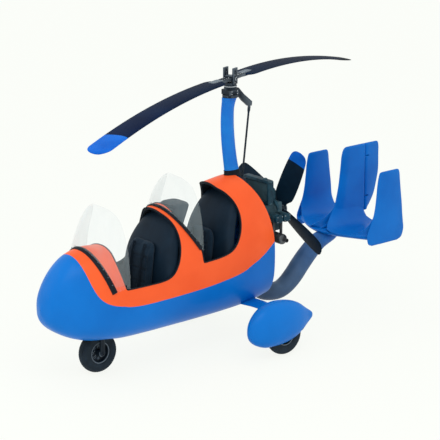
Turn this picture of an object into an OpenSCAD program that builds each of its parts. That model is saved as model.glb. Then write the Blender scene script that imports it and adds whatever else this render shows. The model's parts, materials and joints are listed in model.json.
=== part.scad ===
// Tandem two-seat gyrocopter: composite pod, two-blade teetering rotor on a mast,
// pusher propeller behind the engine, low tail boom with three fins, tricycle gear.
// Frame: +X forward, +Y to port, +Z up. Origin on the ground under the rotor axis.

/* [Pod] */
// Thickness of the composite pod walls
wall = 20; // [12:1:30]
// Height of the underside of the cockpit floor
floor_z = 430; // [430:2:450]
// Thickness of the floor, firewall and panels
panel_t = 15; // [8:1:25]

/* [Seats] */
// Width of each seat pan
pan_w = 420; // [360:10:440]
// Height of each seat pan above the floor
pan_h = 90; // [60:5:110]
// Thickness of the cushions and backrest pads
pad_t = 60; // [40:5:70]

/* [Mast and rotor] */
// Height of the mast top above the ground
mast_top_z = 2440; // [2300:10:2600]
// Fore and aft depth of the mast
mast_chord = 165; // [130:5:180]
// Width of the mast across the pod
mast_width = 84; // [60:2:110]
// Radius of the rotor, axis to blade tip
rotor_r = 2400; // [2000:10:3200]
// Chord of a rotor blade
blade_chord = 250; // [160:5:280]
// Thickness of a rotor blade
blade_t = 26; // [20:1:34]
// How far the blades rise from the hub before they droop
blade_rise = 30; // [0:10:340]
// How far the blade tips droop below that rise when parked
blade_droop = 260; // [100:10:560]
// Angle of the blades from the centreline when parked
rotor_park_angle = 20; // [0:1:40]
// Radius of the rotor spindle
spindle_r = 20; // [14:1:26]
// Radius of the teeter bolt
teeter_bolt_r = 10; // [6:1:14]

/* [Engine and propeller] */
// Radius of the propeller
prop_r = 700; // [600:10:720]
// Height of the propeller axis above the ground
prop_z = 1200; // [1190:5:1230]
// Distance from the rotor axis back to the propeller
prop_back = 652; // [645:1:670]
// Number of propeller blades
prop_blades = 4; // [2:1:5]
// Widest chord of a propeller blade
prop_chord = 185; // [120:5:200]
// Angle of the first propeller blade above horizontal when parked
prop_park_angle = 64; // [0:1:89]
// Radius of the propeller shaft
prop_shaft_r = 15; // [10:1:20]

/* [Tail] */
// Half span between the inner faces of the two outer fins
fin_y = 510; // [460:10:620]
// Height of the tops of the outer fins
fin_top_z = 1530; // [1400:10:1600]
// Height of the top of the centre fin
centre_fin_top_z = 1690; // [1640:10:1800]
// Thickness of the fins and stabiliser
fin_t = 44; // [36:2:56]
// Height of the underside of the stabiliser
stab_z = 845; // [835:5:860]
// Radius of the rudder hinge pins
rudder_pin_r = 5; // [4:1:8]

/* [Undercarriage] */
// Outer radius of the tyres
tyre_r = 200; // [180:5:203]
// Width of the main tyres
main_tyre_w = 110; // [90:5:125]
// Width of the nose tyre
nose_tyre_w = 130; // [100:5:140]
// Radius of the wheel rims
rim_r = 105; // [90:5:120]
// Half the distance between the main wheels
track_half = 760; // [700:10:850]
// Distance from the rotor axis forward to the nose wheel contact
nose_wheel_x = 1650; // [1600:10:1700]
// Distance from the nose wheel contact forward to its steering axis
nose_trail = 20; // [0:5:30]
// Radius of the wheel axles
axle_r = 14; // [10:1:18]
// Radius of the hole along the hollow nose axle
axle_bore_r = 7; // [5:0.5:8]

/* [Hidden] */

$fn = 48;
slice_t = 0.5;        // thickness of the slices that hulls run between
seat_gap = 0.3;       // between pieces that sit on each other
fit_gap = 0.05;       // radial clearance of a shaft in its bore
move_gap = 6;         // between pieces that move past each other
far = 1200;
paint = "royalblue";
dark = [0.1, 0.14, 0.18];

// ---------------------------------------------------------------- pod
// Columns: x, half width, z of bottom, z of widest point, z of top
POD = [
    [2290,  25, 705, 750,  785],
    [2250, 125, 600, 747,  925],
    [2130, 208, 495, 737, 1100],
    [1970, 275, 415, 725, 1215],
    [1780, 330, 365, 720, 1258],
    [1550, 365, 338, 725, 1250],
    [1250, 382, 330, 740, 1385],
    [ 950, 385, 330, 760, 1500],
    [ 600, 380, 330, 780, 1570],
    [ 250, 368, 335, 790, 1640],
    [   0, 350, 345, 800, 1668],
    [-180, 328, 365, 800, 1650],
    [-400, 292, 408, 800, 1580],
];
POD_POWERS = [2.2, 2.8];

// Side outlines, as x and z
PAINT_LINE = [[1990, 1400], [1950, 1180], [1900, 960], [1825, 820], [1690, 745], [1500, 712], [1300, 700],
    [940, 706], [500, 722], [150, 765], [-100, 850], [-250, 930], [-500, 1100]];
REAR_TRIM = [[120, 1800], [0, 1690], [-150, 1510], [-240, 1340], [-295, 1180], [-330, 1000], [-325, 700],
    [-320, 300]];
FRONT_OPENING = [[1555, 880], [1120, 885], [1020, 915], [950, 1000], [905, 1120], [890, 1240], [905, 1360],
    [945, 1440], [990, 1490], [1010, 1900], [1560, 1900], [1585, 1230], [1600, 1150], [1590, 1050]];
REAR_OPENING = [[640, 970], [430, 978], [290, 1000], [205, 1060], [140, 1180], [120, 1320], [150, 1450],
    [225, 1560], [310, 1615], [340, 1900], [900, 1900], [870, 1480], [820, 1370], [740, 1240], [655, 1120]];
FIREWALL_LINE = [[60, 1714], [-110, 1510], [-200, 1340], [-255, 1180], [-290, 1000], [-290, 300]];

function power_arc(a, p) =
    [sign(cos(a)) * pow(abs(cos(a)), 2 / p), sign(sin(a)) * pow(abs(sin(a)), 2 / p)];

// Outline of one row of a body table, smaller all round by inset
function body_outline(s, inset, powers, half_points = 16) = [
    for (i = [0 : 2 * half_points - 1])
        let (a = i * 180 / half_points, upper = a <= 180, q = power_arc(a, powers[upper ? 0 : 1]))
        [max(s[1] - inset, 2) * q[0],
         s[3] + q[1] * (upper ? max(s[4] - s[3] - inset, 2) : max(s[3] - s[2] - inset, 2))]
];

// Body lofted along X through the rows of a table, its two ends drawn in by end_inset
module body(rows, inset, powers, end_inset = 0) {
    last = len(rows) - 1;
    for (i = [0 : last - 1]) hull() for (k = [i, i + 1])
        translate([rows[k][0] + (k == 0 ? -end_inset : k == last ? end_inset : 0), 0, 0])
            rotate([90, 0, 90]) linear_extrude(slice_t) polygon(body_outline(rows[k], inset, powers));
}

module pod_body(inset) { body(POD, inset, POD_POWERS, max(inset, 0)); }
module inside_pod() { body(POD, wall + seat_gap, POD_POWERS, wall); }

// A side outline carried across the pod
module across(outline, half = far) {
    translate([0, half, 0]) rotate([90, 0, 0]) linear_extrude(2 * half) polygon(outline);
}
// A side line thickened forward by t into a closed outline
function thick_line(line, t) =
    concat(line, [for (i = [len(line) - 1 : -1 : 0]) line[i] + [t, 0]]);

module pod_shell() {
    difference() {
        pod_body(0);
        body(POD, wall, POD_POWERS, wall);
        across(concat(REAR_TRIM, [[-900, 300], [-900, 1800]]));
        across(FRONT_OPENING);
        across(REAR_OPENING);
        mast_body(seat_gap);
    }
}
module below_paint(drop = 0) {
    translate([0, 0, -drop]) across(concat(PAINT_LINE, [[-500, 0], [2600, 0], [2600, 1400]]));
}

well_r = sqrt(pow(tyre_r, 2) - pow(tyre_r - 62, 2)) + nose_tyre_w / 4 + nose_trail;
module nose_wheel_well() {
    translate([steer_x, 0, 200]) cylinder(r = well_r, h = floor_z - 200);
}

module lower_fuselage() {
    color(paint) difference() {
        intersection() { pod_shell(); below_paint(seat_gap); }
        nose_wheel_well();
        bow_body(seat_gap);
        boom_body(seat_gap);
    }
}
module upper_fuselage() {
    color("orangered") difference() { pod_shell(); below_paint(); }
}

floor_top = floor_z + panel_t;
module cockpit_floor() {
    color("dimgray") difference() {
        intersection() {
            inside_pod();
            translate([-290 + panel_t + seat_gap, -far / 2, floor_z]) cube([2300, far, panel_t]);
        }
        translate([steer_x, 0, 0]) cylinder(r = head_r + seat_gap, h = far);
    }
}
module firewall() {
    color("dimgray") difference() {
        intersection() { inside_pod(); across(thick_line(FIREWALL_LINE, panel_t)); }
        mast_body(seat_gap);
    }
}

// ---------------------------------------------------------------- seats
pan_top = floor_top + pan_h;
cushion_len = 340;
spine_top = 760;
// Front faces of the seat backs, from the pan up, as x and z
FRONT_BACK = [[1130, pan_top], [1105, 900], [1075, 1100], [1015, 1240], [935, 1360], [860, 1435]];
REAR_BACK = [[390, pan_top], [355, 1000], [320, 1200], [245, 1370], [170, 1470], [90, 1550]];

// Moulded seat: a domed back that fills the pod above the sill, a narrow spine and a pan below it
module seat_shell(back, back_t) {
    outline = concat(back, [for (i = [len(back) - 1 : -1 : 0]) back[i] - [back_t, 0]]);
    color(dark) difference() {
        union() {
            intersection() {
                inside_pod();
                across(outline);
                translate([back[0][0] - 700, -far / 2, spine_top]) cube([900, far, 1000]);
            }
            intersection() {
                across(outline, pan_w / 2);
                translate([back[0][0] - 700, -far / 2, 0]) cube([900, far, spine_top]);
            }
            translate([back[0][0] - back_t, -pan_w / 2, floor_top]) cube([back_t + cushion_len + 20, pan_w, pan_h]);
        }
        mast_body(move_gap);
        translate([panel_t + move_gap, 0, 0]) across(concat(FIREWALL_LINE, [[-900, 300], [-900, 1714]]));
    }
}
module front_seat_shell() { seat_shell(FRONT_BACK, 190); }
module rear_seat_shell() { seat_shell(REAR_BACK, 200); }

module seat_cushion(back) {
    color(dark) translate([back[0][0] + pad_t + 2, -pan_w / 2 + 10, pan_top + seat_gap])
        cube([cushion_len - pad_t, pan_w - 20, pad_t + 20]);
}
module backrest(back) {
    face = [for (i = [0 : 3]) back[i] + [seat_gap, i == 0 ? seat_gap : 0]];
    color(dark) across(concat(face, [for (i = [3 : -1 : 0]) face[i] + [pad_t, 0]]), pan_w / 2 - 10);
}
module front_seat_cushion() { seat_cushion(FRONT_BACK); }
module rear_seat_cushion() { seat_cushion(REAR_BACK); }
module front_backrest() { backrest(FRONT_BACK); }
module rear_backrest() { backrest(REAR_BACK); }

// ---------------------------------------------------------------- cockpit
module instrument_panel() {
    color(dark) intersection() {
        inside_pod();
        across(thick_line([[1640, 860], [1655, 1240]], panel_t));
    }
}

// A clear sheet blown into a shell: it springs from a raked line on the pod and ends in an open rear edge.
// Columns of rows: x, half width, z of bottom, z of widest point, z of top
module glass_solid(rows, foot, rake, inset) {
    hull() {
        intersection() {
            pod_body(inset - 4);
            translate([foot[0], -far / 2, foot[1]]) rotate([0, rake, 0]) translate([0, 0, -200])
                cube([slice_t, far, 900]);
        }
        for (s = rows) translate([s[0] - inset, 0, 0]) rotate([90, 0, 90])
            linear_extrude(slice_t) polygon(body_outline(s, inset, [2.1, 2.1], 12));
    }
}
module windshield(rows, foot, rake, sill, rear_edge) {
    color([0.86, 0.9, 0.92, 0.4]) difference() {
        glass_solid(rows, foot, rake, 0);
        translate([-slice_t - 1, 0, 0]) glass_solid(rows, foot, rake, glass_t);
        pod_body(-seat_gap);
        translate([0, -far / 2, 0]) cube([2 * far, far, sill]);
        across(rear_edge);
        translate([foot[0], -far / 2, foot[1]]) rotate([0, rake, 0]) translate([0, 0, -400])
            cube([900, far, 1800]);
    }
}
glass_t = 5;
FRONT_GLASS = [[1510, 345, 700, 850, 1500], [1630, 335, 700, 850, 1640], [1730, 295, 750, 880, 1605],
    [1810, 240, 900, 1000, 1490]];
REAR_GLASS = [[625, 325, 950, 1040, 1650], [730, 300, 950, 1060, 1785], [840, 240, 1000, 1100, 1755],
    [915, 180, 1200, 1300, 1640]];
module front_windshield() {
    windshield(FRONT_GLASS, [1670, 830], 20.4, 882,
        [[1400, 700], [1512, 700], [1512, 1480], [1535, 1560], [1590, 1625], [1650, 1655], [1650, 1900], [1400, 1900]]);
}
module rear_windshield() {
    windshield(REAR_GLASS, [650, 1090], 33, 1105,
        [[500, 700], [628, 700], [628, 1630], [650, 1710], [695, 1765], [750, 1800], [750, 2000], [500, 2000]]);
}

stick_x = [1565, 805];
module control_sticks() {
    color(dark) for (x = stick_x) translate([x, 0, floor_top]) {
        cylinder(r = 32, h = 24);
        cylinder(r = 9, h = 300);
        translate([0, 0, 290]) cylinder(r = 17, h = 95);
    }
    color(dark) for (x = [1330, 560]) translate([x, 262, floor_top]) {
        translate([-40, -12, 0]) cube([80, 24, 40]);
        cylinder(r = 7, h = 150);
        translate([0, 0, 150]) cylinder(r = 16, h = 35);
    }
}
// Columns: x, half distance between the two pedals
PEDALS = [[1960, 90], [1270, 270]];
module rudder_pedals() {
    color("dimgray") for (p = PEDALS, s = [-1, 1]) translate([p[0], s * p[1], floor_top]) {
        translate([-8, -35, 35]) cube([16, 70, 95]);
        translate([-8, -8, 0]) cube([16, 16, 40]);
    }
}

// ---------------------------------------------------------------- mast and rotor
// Columns: z, x of the centre, chord and width as shares of the mast's
MAST = [
    [floor_top, -55, 1.00, 1.0], [1300, -52, 1.00, 1.0], [1500, -45, 1.02, 1.0], [1640, -30, 1.10, 1.0],
    [1800, 0, 1.00, 1.0], [2000, 27, 0.97, 0.95], [2180, 38, 0.95, 0.92], [mast_top_z - 120, 34, 0.93, 0.92],
    [mast_top_z - 45, 20, 1.00, 1.0], [mast_top_z - slice_t, 6, 1.12, 1.25],
];
module mast_body(grow) {
    for (i = [0 : len(MAST) - 2]) hull() for (k = [i, i + 1])
        translate([MAST[k][1], 0, MAST[k][0] - (k == 0 ? grow : 0)]) linear_extrude(slice_t)
            scale([mast_chord * MAST[k][2] / 2 + grow, mast_width * MAST[k][3] / 2 + grow]) circle(r = 1, $fn = 28);
}
module mast() { color(paint) mast_body(0); }

head_top = mast_top_z + 122;
top_row = MAST[len(MAST) - 1];
mast_back = top_row[1] - mast_chord * top_row[2] / 2;      // rear face of the mast at its top
rod_top = [mast_back - 156.6, mast_top_z - 124.6];
rod_foot = [mast_back - 65.6, 1575];
// Control arm behind the mast, as x and height above the mast top
ARM = concat([[-45, 70]], [for (p = [[-7.6, 2], [-63.6, -60], [-135.6, -122], [-177.6, -122], [-181.6, -80],
    [-78.6, 5], [-8.6, 80]]) p + [mast_back, 0]]);
module rotor_head() {
    color(dark) difference() {
        union() {
            translate([0, 0, mast_top_z]) cylinder(r = 78, h = 26);
            translate([-60, -62, mast_top_z + 26]) cube([120, 124, 50]);
            translate([0, 0, mast_top_z + 76]) cylinder(r = 62, h = head_top - mast_top_z - 76);
            translate([0, 0, mast_top_z]) across(ARM, 17);
        }
        translate([0, 0, mast_top_z + 20]) cylinder(r = spindle_r + fit_gap, h = 200);
    }
}
module control_rod() {
    lean = atan2(rod_foot[0] - rod_top[0], rod_top[1] - rod_foot[1]);
    length = norm(rod_top - rod_foot);
    color(dark) translate([rod_top[0], 0, rod_top[1]]) rotate([0, 180 - lean, 0]) {
        cylinder(r = 10, h = length);
        cylinder(r = 15, h = 60);
        translate([0, 0, length - 60]) cylinder(r = 15, h = 60);
    }
    color(dark) difference() {
        translate([rod_foot[0] - 22, -20, rod_foot[1] - 25]) cube([90, 40, 22]);
        mast_body(seat_gap);
    }
}

blade_z = mast_top_z + 185;
bar_w = 84;
bar_t = 26;
hub_t = 56;
cheek_t = 18;
cheek_y = bar_w / 2 + seat_gap;
bolt_len = 2 * (cheek_y + cheek_t + 14);
blade_root = 230;
cheek_rise = 95;
hoist_rise = 72;
hoist_r = 9;

module teeter_tower() {
    color(dark) rotate(rotor_park_angle) difference() {
        union() {
            translate([0, 0, mast_top_z + 24]) cylinder(r = spindle_r, h = head_top - mast_top_z);
            translate([0, 0, head_top + 0.5]) cylinder(r = cheek_y + cheek_t, h = 22);
            for (s = [0, 1]) mirror([0, s, 0])
                translate([-38, cheek_y, head_top + 10]) cube([76, cheek_t, blade_z + cheek_rise - head_top]);
            translate([0, bolt_len / 2, blade_z]) rotate([90, 0, 0]) cylinder(r = teeter_bolt_r, h = bolt_len);
        }
        translate([0, far, blade_z + hoist_rise]) rotate([90, 0, 0]) cylinder(r = hoist_r, h = 2 * far);
    }
}
module rotor_hub_bar() {
    color(dark) rotate(rotor_park_angle) difference() {
        union() {
            translate([-blade_root, -bar_w / 2, blade_z - bar_t / 2]) cube([2 * blade_root, bar_w, bar_t]);
            translate([-34, -bar_w / 2, blade_z - hub_t / 2]) cube([68, bar_w, hub_t]);
        }
        translate([0, far, blade_z]) rotate([90, 0, 0]) cylinder(r = teeter_bolt_r + fit_gap, h = 2 * far);
    }
}

blade_steps = 12;
// Blade section: x along the chord, y through the thickness, blunt at the leading edge
function airfoil(c, t) = [
    for (i = [0 : 15]) let (a = i * 22.5) [c * 0.5 * cos(a), t * 0.5 * sin(a) * (1 + 0.3 * cos(a))]
];
function blade_curve(u) = blade_rise * u - blade_droop * u * u;
module rotor_blade(tip_round) {
    for (i = [0 : blade_steps - 1]) hull() for (k = [i, i + 1]) {
        u = 1 - pow(1 - k / blade_steps, 1.5);
        r = blade_root + seat_gap / 3 + (rotor_r - slice_t - blade_root) * u;
        e = min(1, (rotor_r - r) / tip_round);
        c = blade_chord * (0.92 + 0.08 * u) * sqrt(max(0.02, 1 - pow(1 - e, 2)));
        translate([r, 0, blade_z + blade_curve(u)]) rotate([90, 0, 90])
            linear_extrude(slice_t) polygon(airfoil(c, blade_t));
    }
}
module blue_tip_rotor_blade() { color(dark) rotate(rotor_park_angle) rotor_blade(blade_chord / 2); }
module plain_rotor_blade() { color(dark) rotate(rotor_park_angle + 180) rotor_blade(40); }

// ---------------------------------------------------------------- engine and propeller
block_x = [-555, -345];
cylinder_x = [-400, -500];
cylinder_r = 48;
module engine_block() {
    color(dark) translate([block_x[0], -150, prop_z - 170]) cube([block_x[1] - block_x[0], 300, 290]);
}
module engine_cylinders() {
    color("dimgray") for (s = [0, 1], x = cylinder_x) mirror([0, s, 0])
        translate([x, 150 + seat_gap, prop_z - 10]) rotate([-90, 0, 0]) {
            cylinder(r = 40, h = 110);
            for (k = [0 : 5]) translate([0, 0, 8 + 16 * k]) cylinder(r = cylinder_r, h = 7);
            translate([-44, -40, 108]) cube([88, 80, 34]);
        }
}
prop_shaft_end = prop_back - 12;
module gearbox() {
    color("dimgray") translate([block_x[0] - seat_gap, 0, prop_z]) rotate([0, -90, 0]) {
        cylinder(r = 82, h = 30);
        cylinder(r = 46, h = 42);
        cylinder(r = prop_shaft_r, h = prop_shaft_end + block_x[0]);
    }
}
module exhaust() {
    muffler_z = prop_z - 225;
    pipe_top = prop_z - 10 - cylinder_r - seat_gap;
    color("silver") {
        translate([-450, 300, muffler_z]) rotate([90, 0, 0]) cylinder(r = 54, h = 560);
        for (s = [-1, 1], x = cylinder_x) translate([x, s * 195, muffler_z]) cylinder(r = 15, h = pipe_top - muffler_z);
        translate([-450, 300, muffler_z]) rotate([-90, 0, 0]) cylinder(r = 20, h = 45);
    }
}
module radiator() {
    color(dark) translate([-405, -190, prop_z + 120 + seat_gap]) {
        cube([70, 380, 250]);
        translate([-95, 60, 0]) cube([95, 260, 150]);
    }
}
module engine_mount() {
    color("dimgray") difference() {
        union() {
            translate([block_x[1] + seat_gap, -140, prop_z - 160]) cube([14, 280, 270]);
            for (y = [-115, 115], z = [prop_z - 135, prop_z + 80]) translate([block_x[1] + seat_gap, y, z])
                rotate([0, 90, 0]) cylinder(r = 16, h = 200);
        }
        translate([-seat_gap, 0, 0]) across(concat(FIREWALL_LINE, [[far, 300], [far, 1714]]));
    }
}

hub_len = 84;
hub_half = 60;
module propeller_hub() {
    color(dark) translate([-prop_back, 0, prop_z]) rotate([prop_park_angle, 0, 0]) difference() {
        union() {
            cube([hub_len, 2 * hub_half, 2 * hub_half], center = true);
            translate([-hub_len / 2, 0, 0]) rotate([0, -90, 0]) cylinder(r = 44, h = 30);
        }
        translate([-20, 0, 0]) rotate([0, 90, 0]) cylinder(r = prop_shaft_r + fit_gap, h = 200);
    }
}
// Columns: share of the radius, chord as a share of the widest, pitch angle, thickness
PROP_BLADE = [[0, 0.48, 48, 34], [0.15, 0.75, 44, 28], [0.35, 1.0, 36, 22], [0.6, 1.0, 27, 17],
    [0.82, 0.97, 21, 13], [0.93, 0.84, 19, 10], [0.98, 0.58, 18, 8], [1, 0.25, 18, 6]];
module propeller_blades() {
    color(dark) for (b = [0 : prop_blades - 1])
        translate([-prop_back, 0, prop_z]) rotate([prop_park_angle + 360 / prop_blades * b, 0, 0])
            for (i = [0 : len(PROP_BLADE) - 2]) hull() for (k = [i, i + 1]) {
                row = PROP_BLADE[k];
                translate([0, hub_half + (prop_r - slice_t - hub_half) * row[0], 0]) rotate([-90, 0, 0])
                    rotate(row[2] - 90) linear_extrude(slice_t)
                        polygon(airfoil(prop_chord * row[1], row[3]));
            }
}

// ---------------------------------------------------------------- tail
// Columns: x, z, radius, angle of the slice from upright
BOOM = [
    [-290, 450, 72, 0], [-360, 405, 80, -25], [-450, 362, 86, -17], [-560, 340, 90, -4], [-660, 343, 92, 12],
    [-745, 378, 95, 28], [-840, 450, 98, 41], [-940, 553, 98, 45], [-1050, 655, 96, 37], [-1190, 755, 90, 20],
    [-1400, 800, 56, 8],
];
module boom_body(grow) {
    for (i = [0 : len(BOOM) - 2]) hull() for (k = [i, i + 1])
        translate([BOOM[k][0], 0, BOOM[k][1]]) rotate([0, BOOM[k][3] - 90, 0])
            cylinder(r = BOOM[k][2] + grow, h = slice_t, $fn = 28);
}
module tail_boom() {
    color("slateblue") difference() {
        boom_body(0);
        translate([-far - 800, -far / 2, stab_z]) cube([far, far, 200]);
    }
}
stab_top = stab_z + fin_t;
module stabiliser() {
    color(paint) translate([0, 0, stab_z]) linear_extrude(fin_t)
        polygon([[-1180, 0], [-1220, 180], [-1400, fin_y], [-1860, fin_y], [-1870, 0],
            [-1860, -fin_y], [-1400, -fin_y], [-1220, -180]]);
}
// Columns: x, z
OUTER_FIN = [[-1440, 790], [-1475, 1000], [-1490, 1280], [-1520, fin_top_z - 20], [-1545, fin_top_z],
    [-1785, fin_top_z], [-1810, fin_top_z - 25], [-1870, 1050], [-1890, 880], [-1860, 800], [-1800, 775],
    [-1500, 770]];
module port_fin() { color(paint) translate([0, fin_y + fin_t / 2, 0]) across(OUTER_FIN, fin_t / 2); }
module starboard_fin() { mirror([0, 1, 0]) port_fin(); }

hinge_x = -1850;
fin_edge_x = hinge_x + fin_t / 2 + move_gap;
hinge_z = [1130, 1560];
lug_t = 10;
module centre_fin() {
    color(paint) {
        across([[-1230, stab_top], [-1330, 940], [-1400, 1060], [-1455, 1250], [-1510, centre_fin_top_z - 40],
            [-1550, centre_fin_top_z], [fin_edge_x, centre_fin_top_z], [fin_edge_x, stab_top]], fin_t / 2);
        for (z = hinge_z) translate([0, 0, z]) {
            translate([hinge_x, -8, -lug_t / 2]) cube([fin_edge_x - hinge_x, 16, lug_t]);
            translate([hinge_x, 0, -lug_t / 2]) cylinder(r = 12, h = lug_t);
            translate([hinge_x, 0, 0]) cylinder(r = rudder_pin_r, h = lug_t / 2 + 22);
        }
    }
}
module rudder() {
    bottom = stab_top + 80;
    color(paint) difference() {
        union() {
            across([[hinge_x, bottom], [-1965, 1120], [-2030, 1370], [-2025, centre_fin_top_z - 30],
                [-2000, centre_fin_top_z], [hinge_x, centre_fin_top_z]], fin_t / 2);
            translate([hinge_x, 0, bottom]) cylinder(r = fin_t / 2, h = centre_fin_top_z - bottom);
        }
        for (z = hinge_z) translate([0, 0, z]) {
            translate([hinge_x - 22, -far, -lug_t / 2 - 1]) cube([far, 2 * far, lug_t + 2]);
            translate([hinge_x, 0, 0]) cylinder(r = rudder_pin_r + fit_gap, h = lug_t / 2 + 24);
        }
    }
}

// ---------------------------------------------------------------- undercarriage
wheel_x = -40;
bracket_t = 12;
bow_end_z = 392;
bracket_y = track_half - main_tyre_w / 2 - move_gap - bracket_t;
// Columns: y, z of the centre, chord, thickness
BOW = [[0, 402, 220, 40], [200, 402, 220, 40], [400, 412, 190, 38], [bracket_y - 110, 404, 150, 34],
    [bracket_y - slice_t, bow_end_z, 120, 30]];
module bow_body(grow) {
    for (s = [0, 1], i = [0 : len(BOW) - 2]) mirror([0, s, 0]) hull() for (k = [i, i + 1])
        translate([wheel_x, BOW[k][0], BOW[k][1]]) rotate([-90, 0, 0]) linear_extrude(slice_t)
            scale([BOW[k][2] / 2 + grow, BOW[k][3] / 2 + grow]) circle(r = 1, $fn = 24);
}
module main_gear_bow() { color(paint) bow_body(0); }

rim_half = main_tyre_w / 2 - 10;
module main_axles() {
    nut_y = track_half + rim_half + 2;
    color("silver") for (s = [0, 1]) mirror([0, s, 0]) {
        translate([wheel_x - 45, bracket_y, tyre_r - 40]) cube([90, bracket_t, bow_end_z + 55 - tyre_r]);
        translate([wheel_x, bracket_y, tyre_r]) rotate([-90, 0, 0]) cylinder(r = axle_r, h = nut_y + 4 - bracket_y);
        translate([wheel_x, nut_y, tyre_r]) rotate([-90, 0, 0]) cylinder(r = axle_r + 8, h = 14);
    }
}

// Columns: x from the axle, half width, z of bottom, z of widest point, z of top
FAIRING = [
    [-372, 8, 305, 325, 345], [-290, 42, 245, 325, 410], [-160, 90, 165, 330, 500], [-10, 120, 125, 335, 548],
    [130, 128, 115, 335, 560], [260, 116, 122, 330, 535], [360, 86, 160, 322, 475], [425, 48, 215, 312, 405],
    [455, 12, 285, 308, 332],
];
FAIRING_POWERS = [2.3, 2.6];
fairing_t = 8;
module fairing() {
    color(paint) difference() {
        body(FAIRING, 0, FAIRING_POWERS);
        body(FAIRING, fairing_t, FAIRING_POWERS, fairing_t);
        translate([0, 0, tyre_r]) rotate([90, 0, 0])
            cylinder(r = tyre_r + 14, h = main_tyre_w + 24, center = true);
        translate([0, -track_half, 0]) translate([-wheel_x, 0, 0]) bow_body(seat_gap);
        translate([-52, bracket_y - track_half - 8, 0]) cube([104, bracket_t + 16, tyre_r]);
    }
}
module port_wheel_fairing() { translate([wheel_x, track_half, 0]) fairing(); }
module starboard_wheel_fairing() { mirror([0, 1, 0]) port_wheel_fairing(); }

// Tyre and rim turn about Y; w is the width of the tyre
module tyre(w) {
    shoulder = tyre_r - w * 0.32;
    color([0.12, 0.13, 0.15]) rotate([90, 0, 0]) rotate_extrude($fn = 64)
        polygon(concat([[rim_r + 0.2, -w * 0.36], [rim_r + 0.2, w * 0.36]],
            [for (a = [80 : -20 : -80]) [shoulder + w * 0.32 * cos(a), w / 2 * sin(a)]]));
}
module rim(w, bore_r, hub_half_w) {
    color("silver") rotate([90, 0, 0]) difference() {
        union() {
            cylinder(r = rim_r, h = w * 0.72, center = true);
            cylinder(r = bore_r + 20, h = 2 * hub_half_w, center = true);
        }
        for (s = [0, 1]) mirror([0, 0, s]) translate([0, 0, 10]) difference() {
            cylinder(r = rim_r - 12, h = w);
            cylinder(r = bore_r + 20, h = w);
        }
        cylinder(r = bore_r + fit_gap, h = 2 * w, center = true);
    }
}
module port_tyre() { translate([wheel_x, track_half, tyre_r]) tyre(main_tyre_w); }
module port_wheel_rim() { translate([wheel_x, track_half, tyre_r]) rim(main_tyre_w, axle_r, rim_half); }
module starboard_tyre() { mirror([0, 1, 0]) port_tyre(); }
module starboard_wheel_rim() { mirror([0, 1, 0]) port_wheel_rim(); }

steer_x = nose_wheel_x + nose_trail;
head_r = 32;
stem_r = 22;
crown_z = 2 * tyre_r + 8;
crown_t = 16;
arm_y = nose_tyre_w / 2 + 10;
arm_t = 14;
module nose_steering_head() {
    color("silver") translate([steer_x, 0, floor_z - 2]) difference() {
        union() {
            cylinder(r = head_r, h = 130);
            translate([0, 0, 2 + panel_t + seat_gap]) cylinder(r = head_r + 28, h = 10);
        }
        translate([0, 0, -1]) cylinder(r = stem_r + fit_gap, h = 200);
    }
}
module nose_fork() {
    color("silver") difference() {
        union() {
            translate([steer_x, 0, crown_z]) cylinder(r = stem_r, h = 150);
            translate([nose_wheel_x - 25, -arm_y - arm_t, crown_z])
                cube([nose_trail + 50, 2 * (arm_y + arm_t), crown_t]);
            for (s = [0, 1]) mirror([0, s, 0]) {
                translate([nose_wheel_x - 25, arm_y, tyre_r]) cube([50, arm_t, crown_z - tyre_r + 1]);
                translate([nose_wheel_x, arm_y, tyre_r]) rotate([-90, 0, 0]) cylinder(r = 25, h = arm_t);
            }
            translate([nose_wheel_x, arm_y + arm_t + 10, tyre_r]) rotate([90, 0, 0])
                cylinder(r = axle_r, h = 2 * (arm_y + arm_t + 10));
        }
        translate([nose_wheel_x, far, tyre_r]) rotate([90, 0, 0]) cylinder(r = axle_bore_r, h = 2 * far);
    }
}
module nose_tyre() { translate([nose_wheel_x, 0, tyre_r]) tyre(nose_tyre_w); }
module nose_wheel_rim() { translate([nose_wheel_x, 0, tyre_r]) rim(nose_tyre_w, axle_r, arm_y - 1); }

lower_fuselage();
upper_fuselage();
cockpit_floor();
firewall();
front_seat_shell();
front_seat_cushion();
front_backrest();
rear_seat_shell();
rear_seat_cushion();
rear_backrest();
instrument_panel();
front_windshield();
rear_windshield();
control_sticks();
rudder_pedals();
mast();
rotor_head();
control_rod();
teeter_tower();
rotor_hub_bar();
blue_tip_rotor_blade();
plain_rotor_blade();
engine_block();
engine_cylinders();
gearbox();
exhaust();
radiator();
engine_mount();
propeller_hub();
propeller_blades();
tail_boom();
stabiliser();
port_fin();
starboard_fin();
centre_fin();
rudder();
main_gear_bow();
main_axles();
port_wheel_fairing();
starboard_wheel_fairing();
port_tyre();
port_wheel_rim();
starboard_tyre();
starboard_wheel_rim();
nose_steering_head();
nose_fork();
nose_tyre();
nose_wheel_rim();
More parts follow.
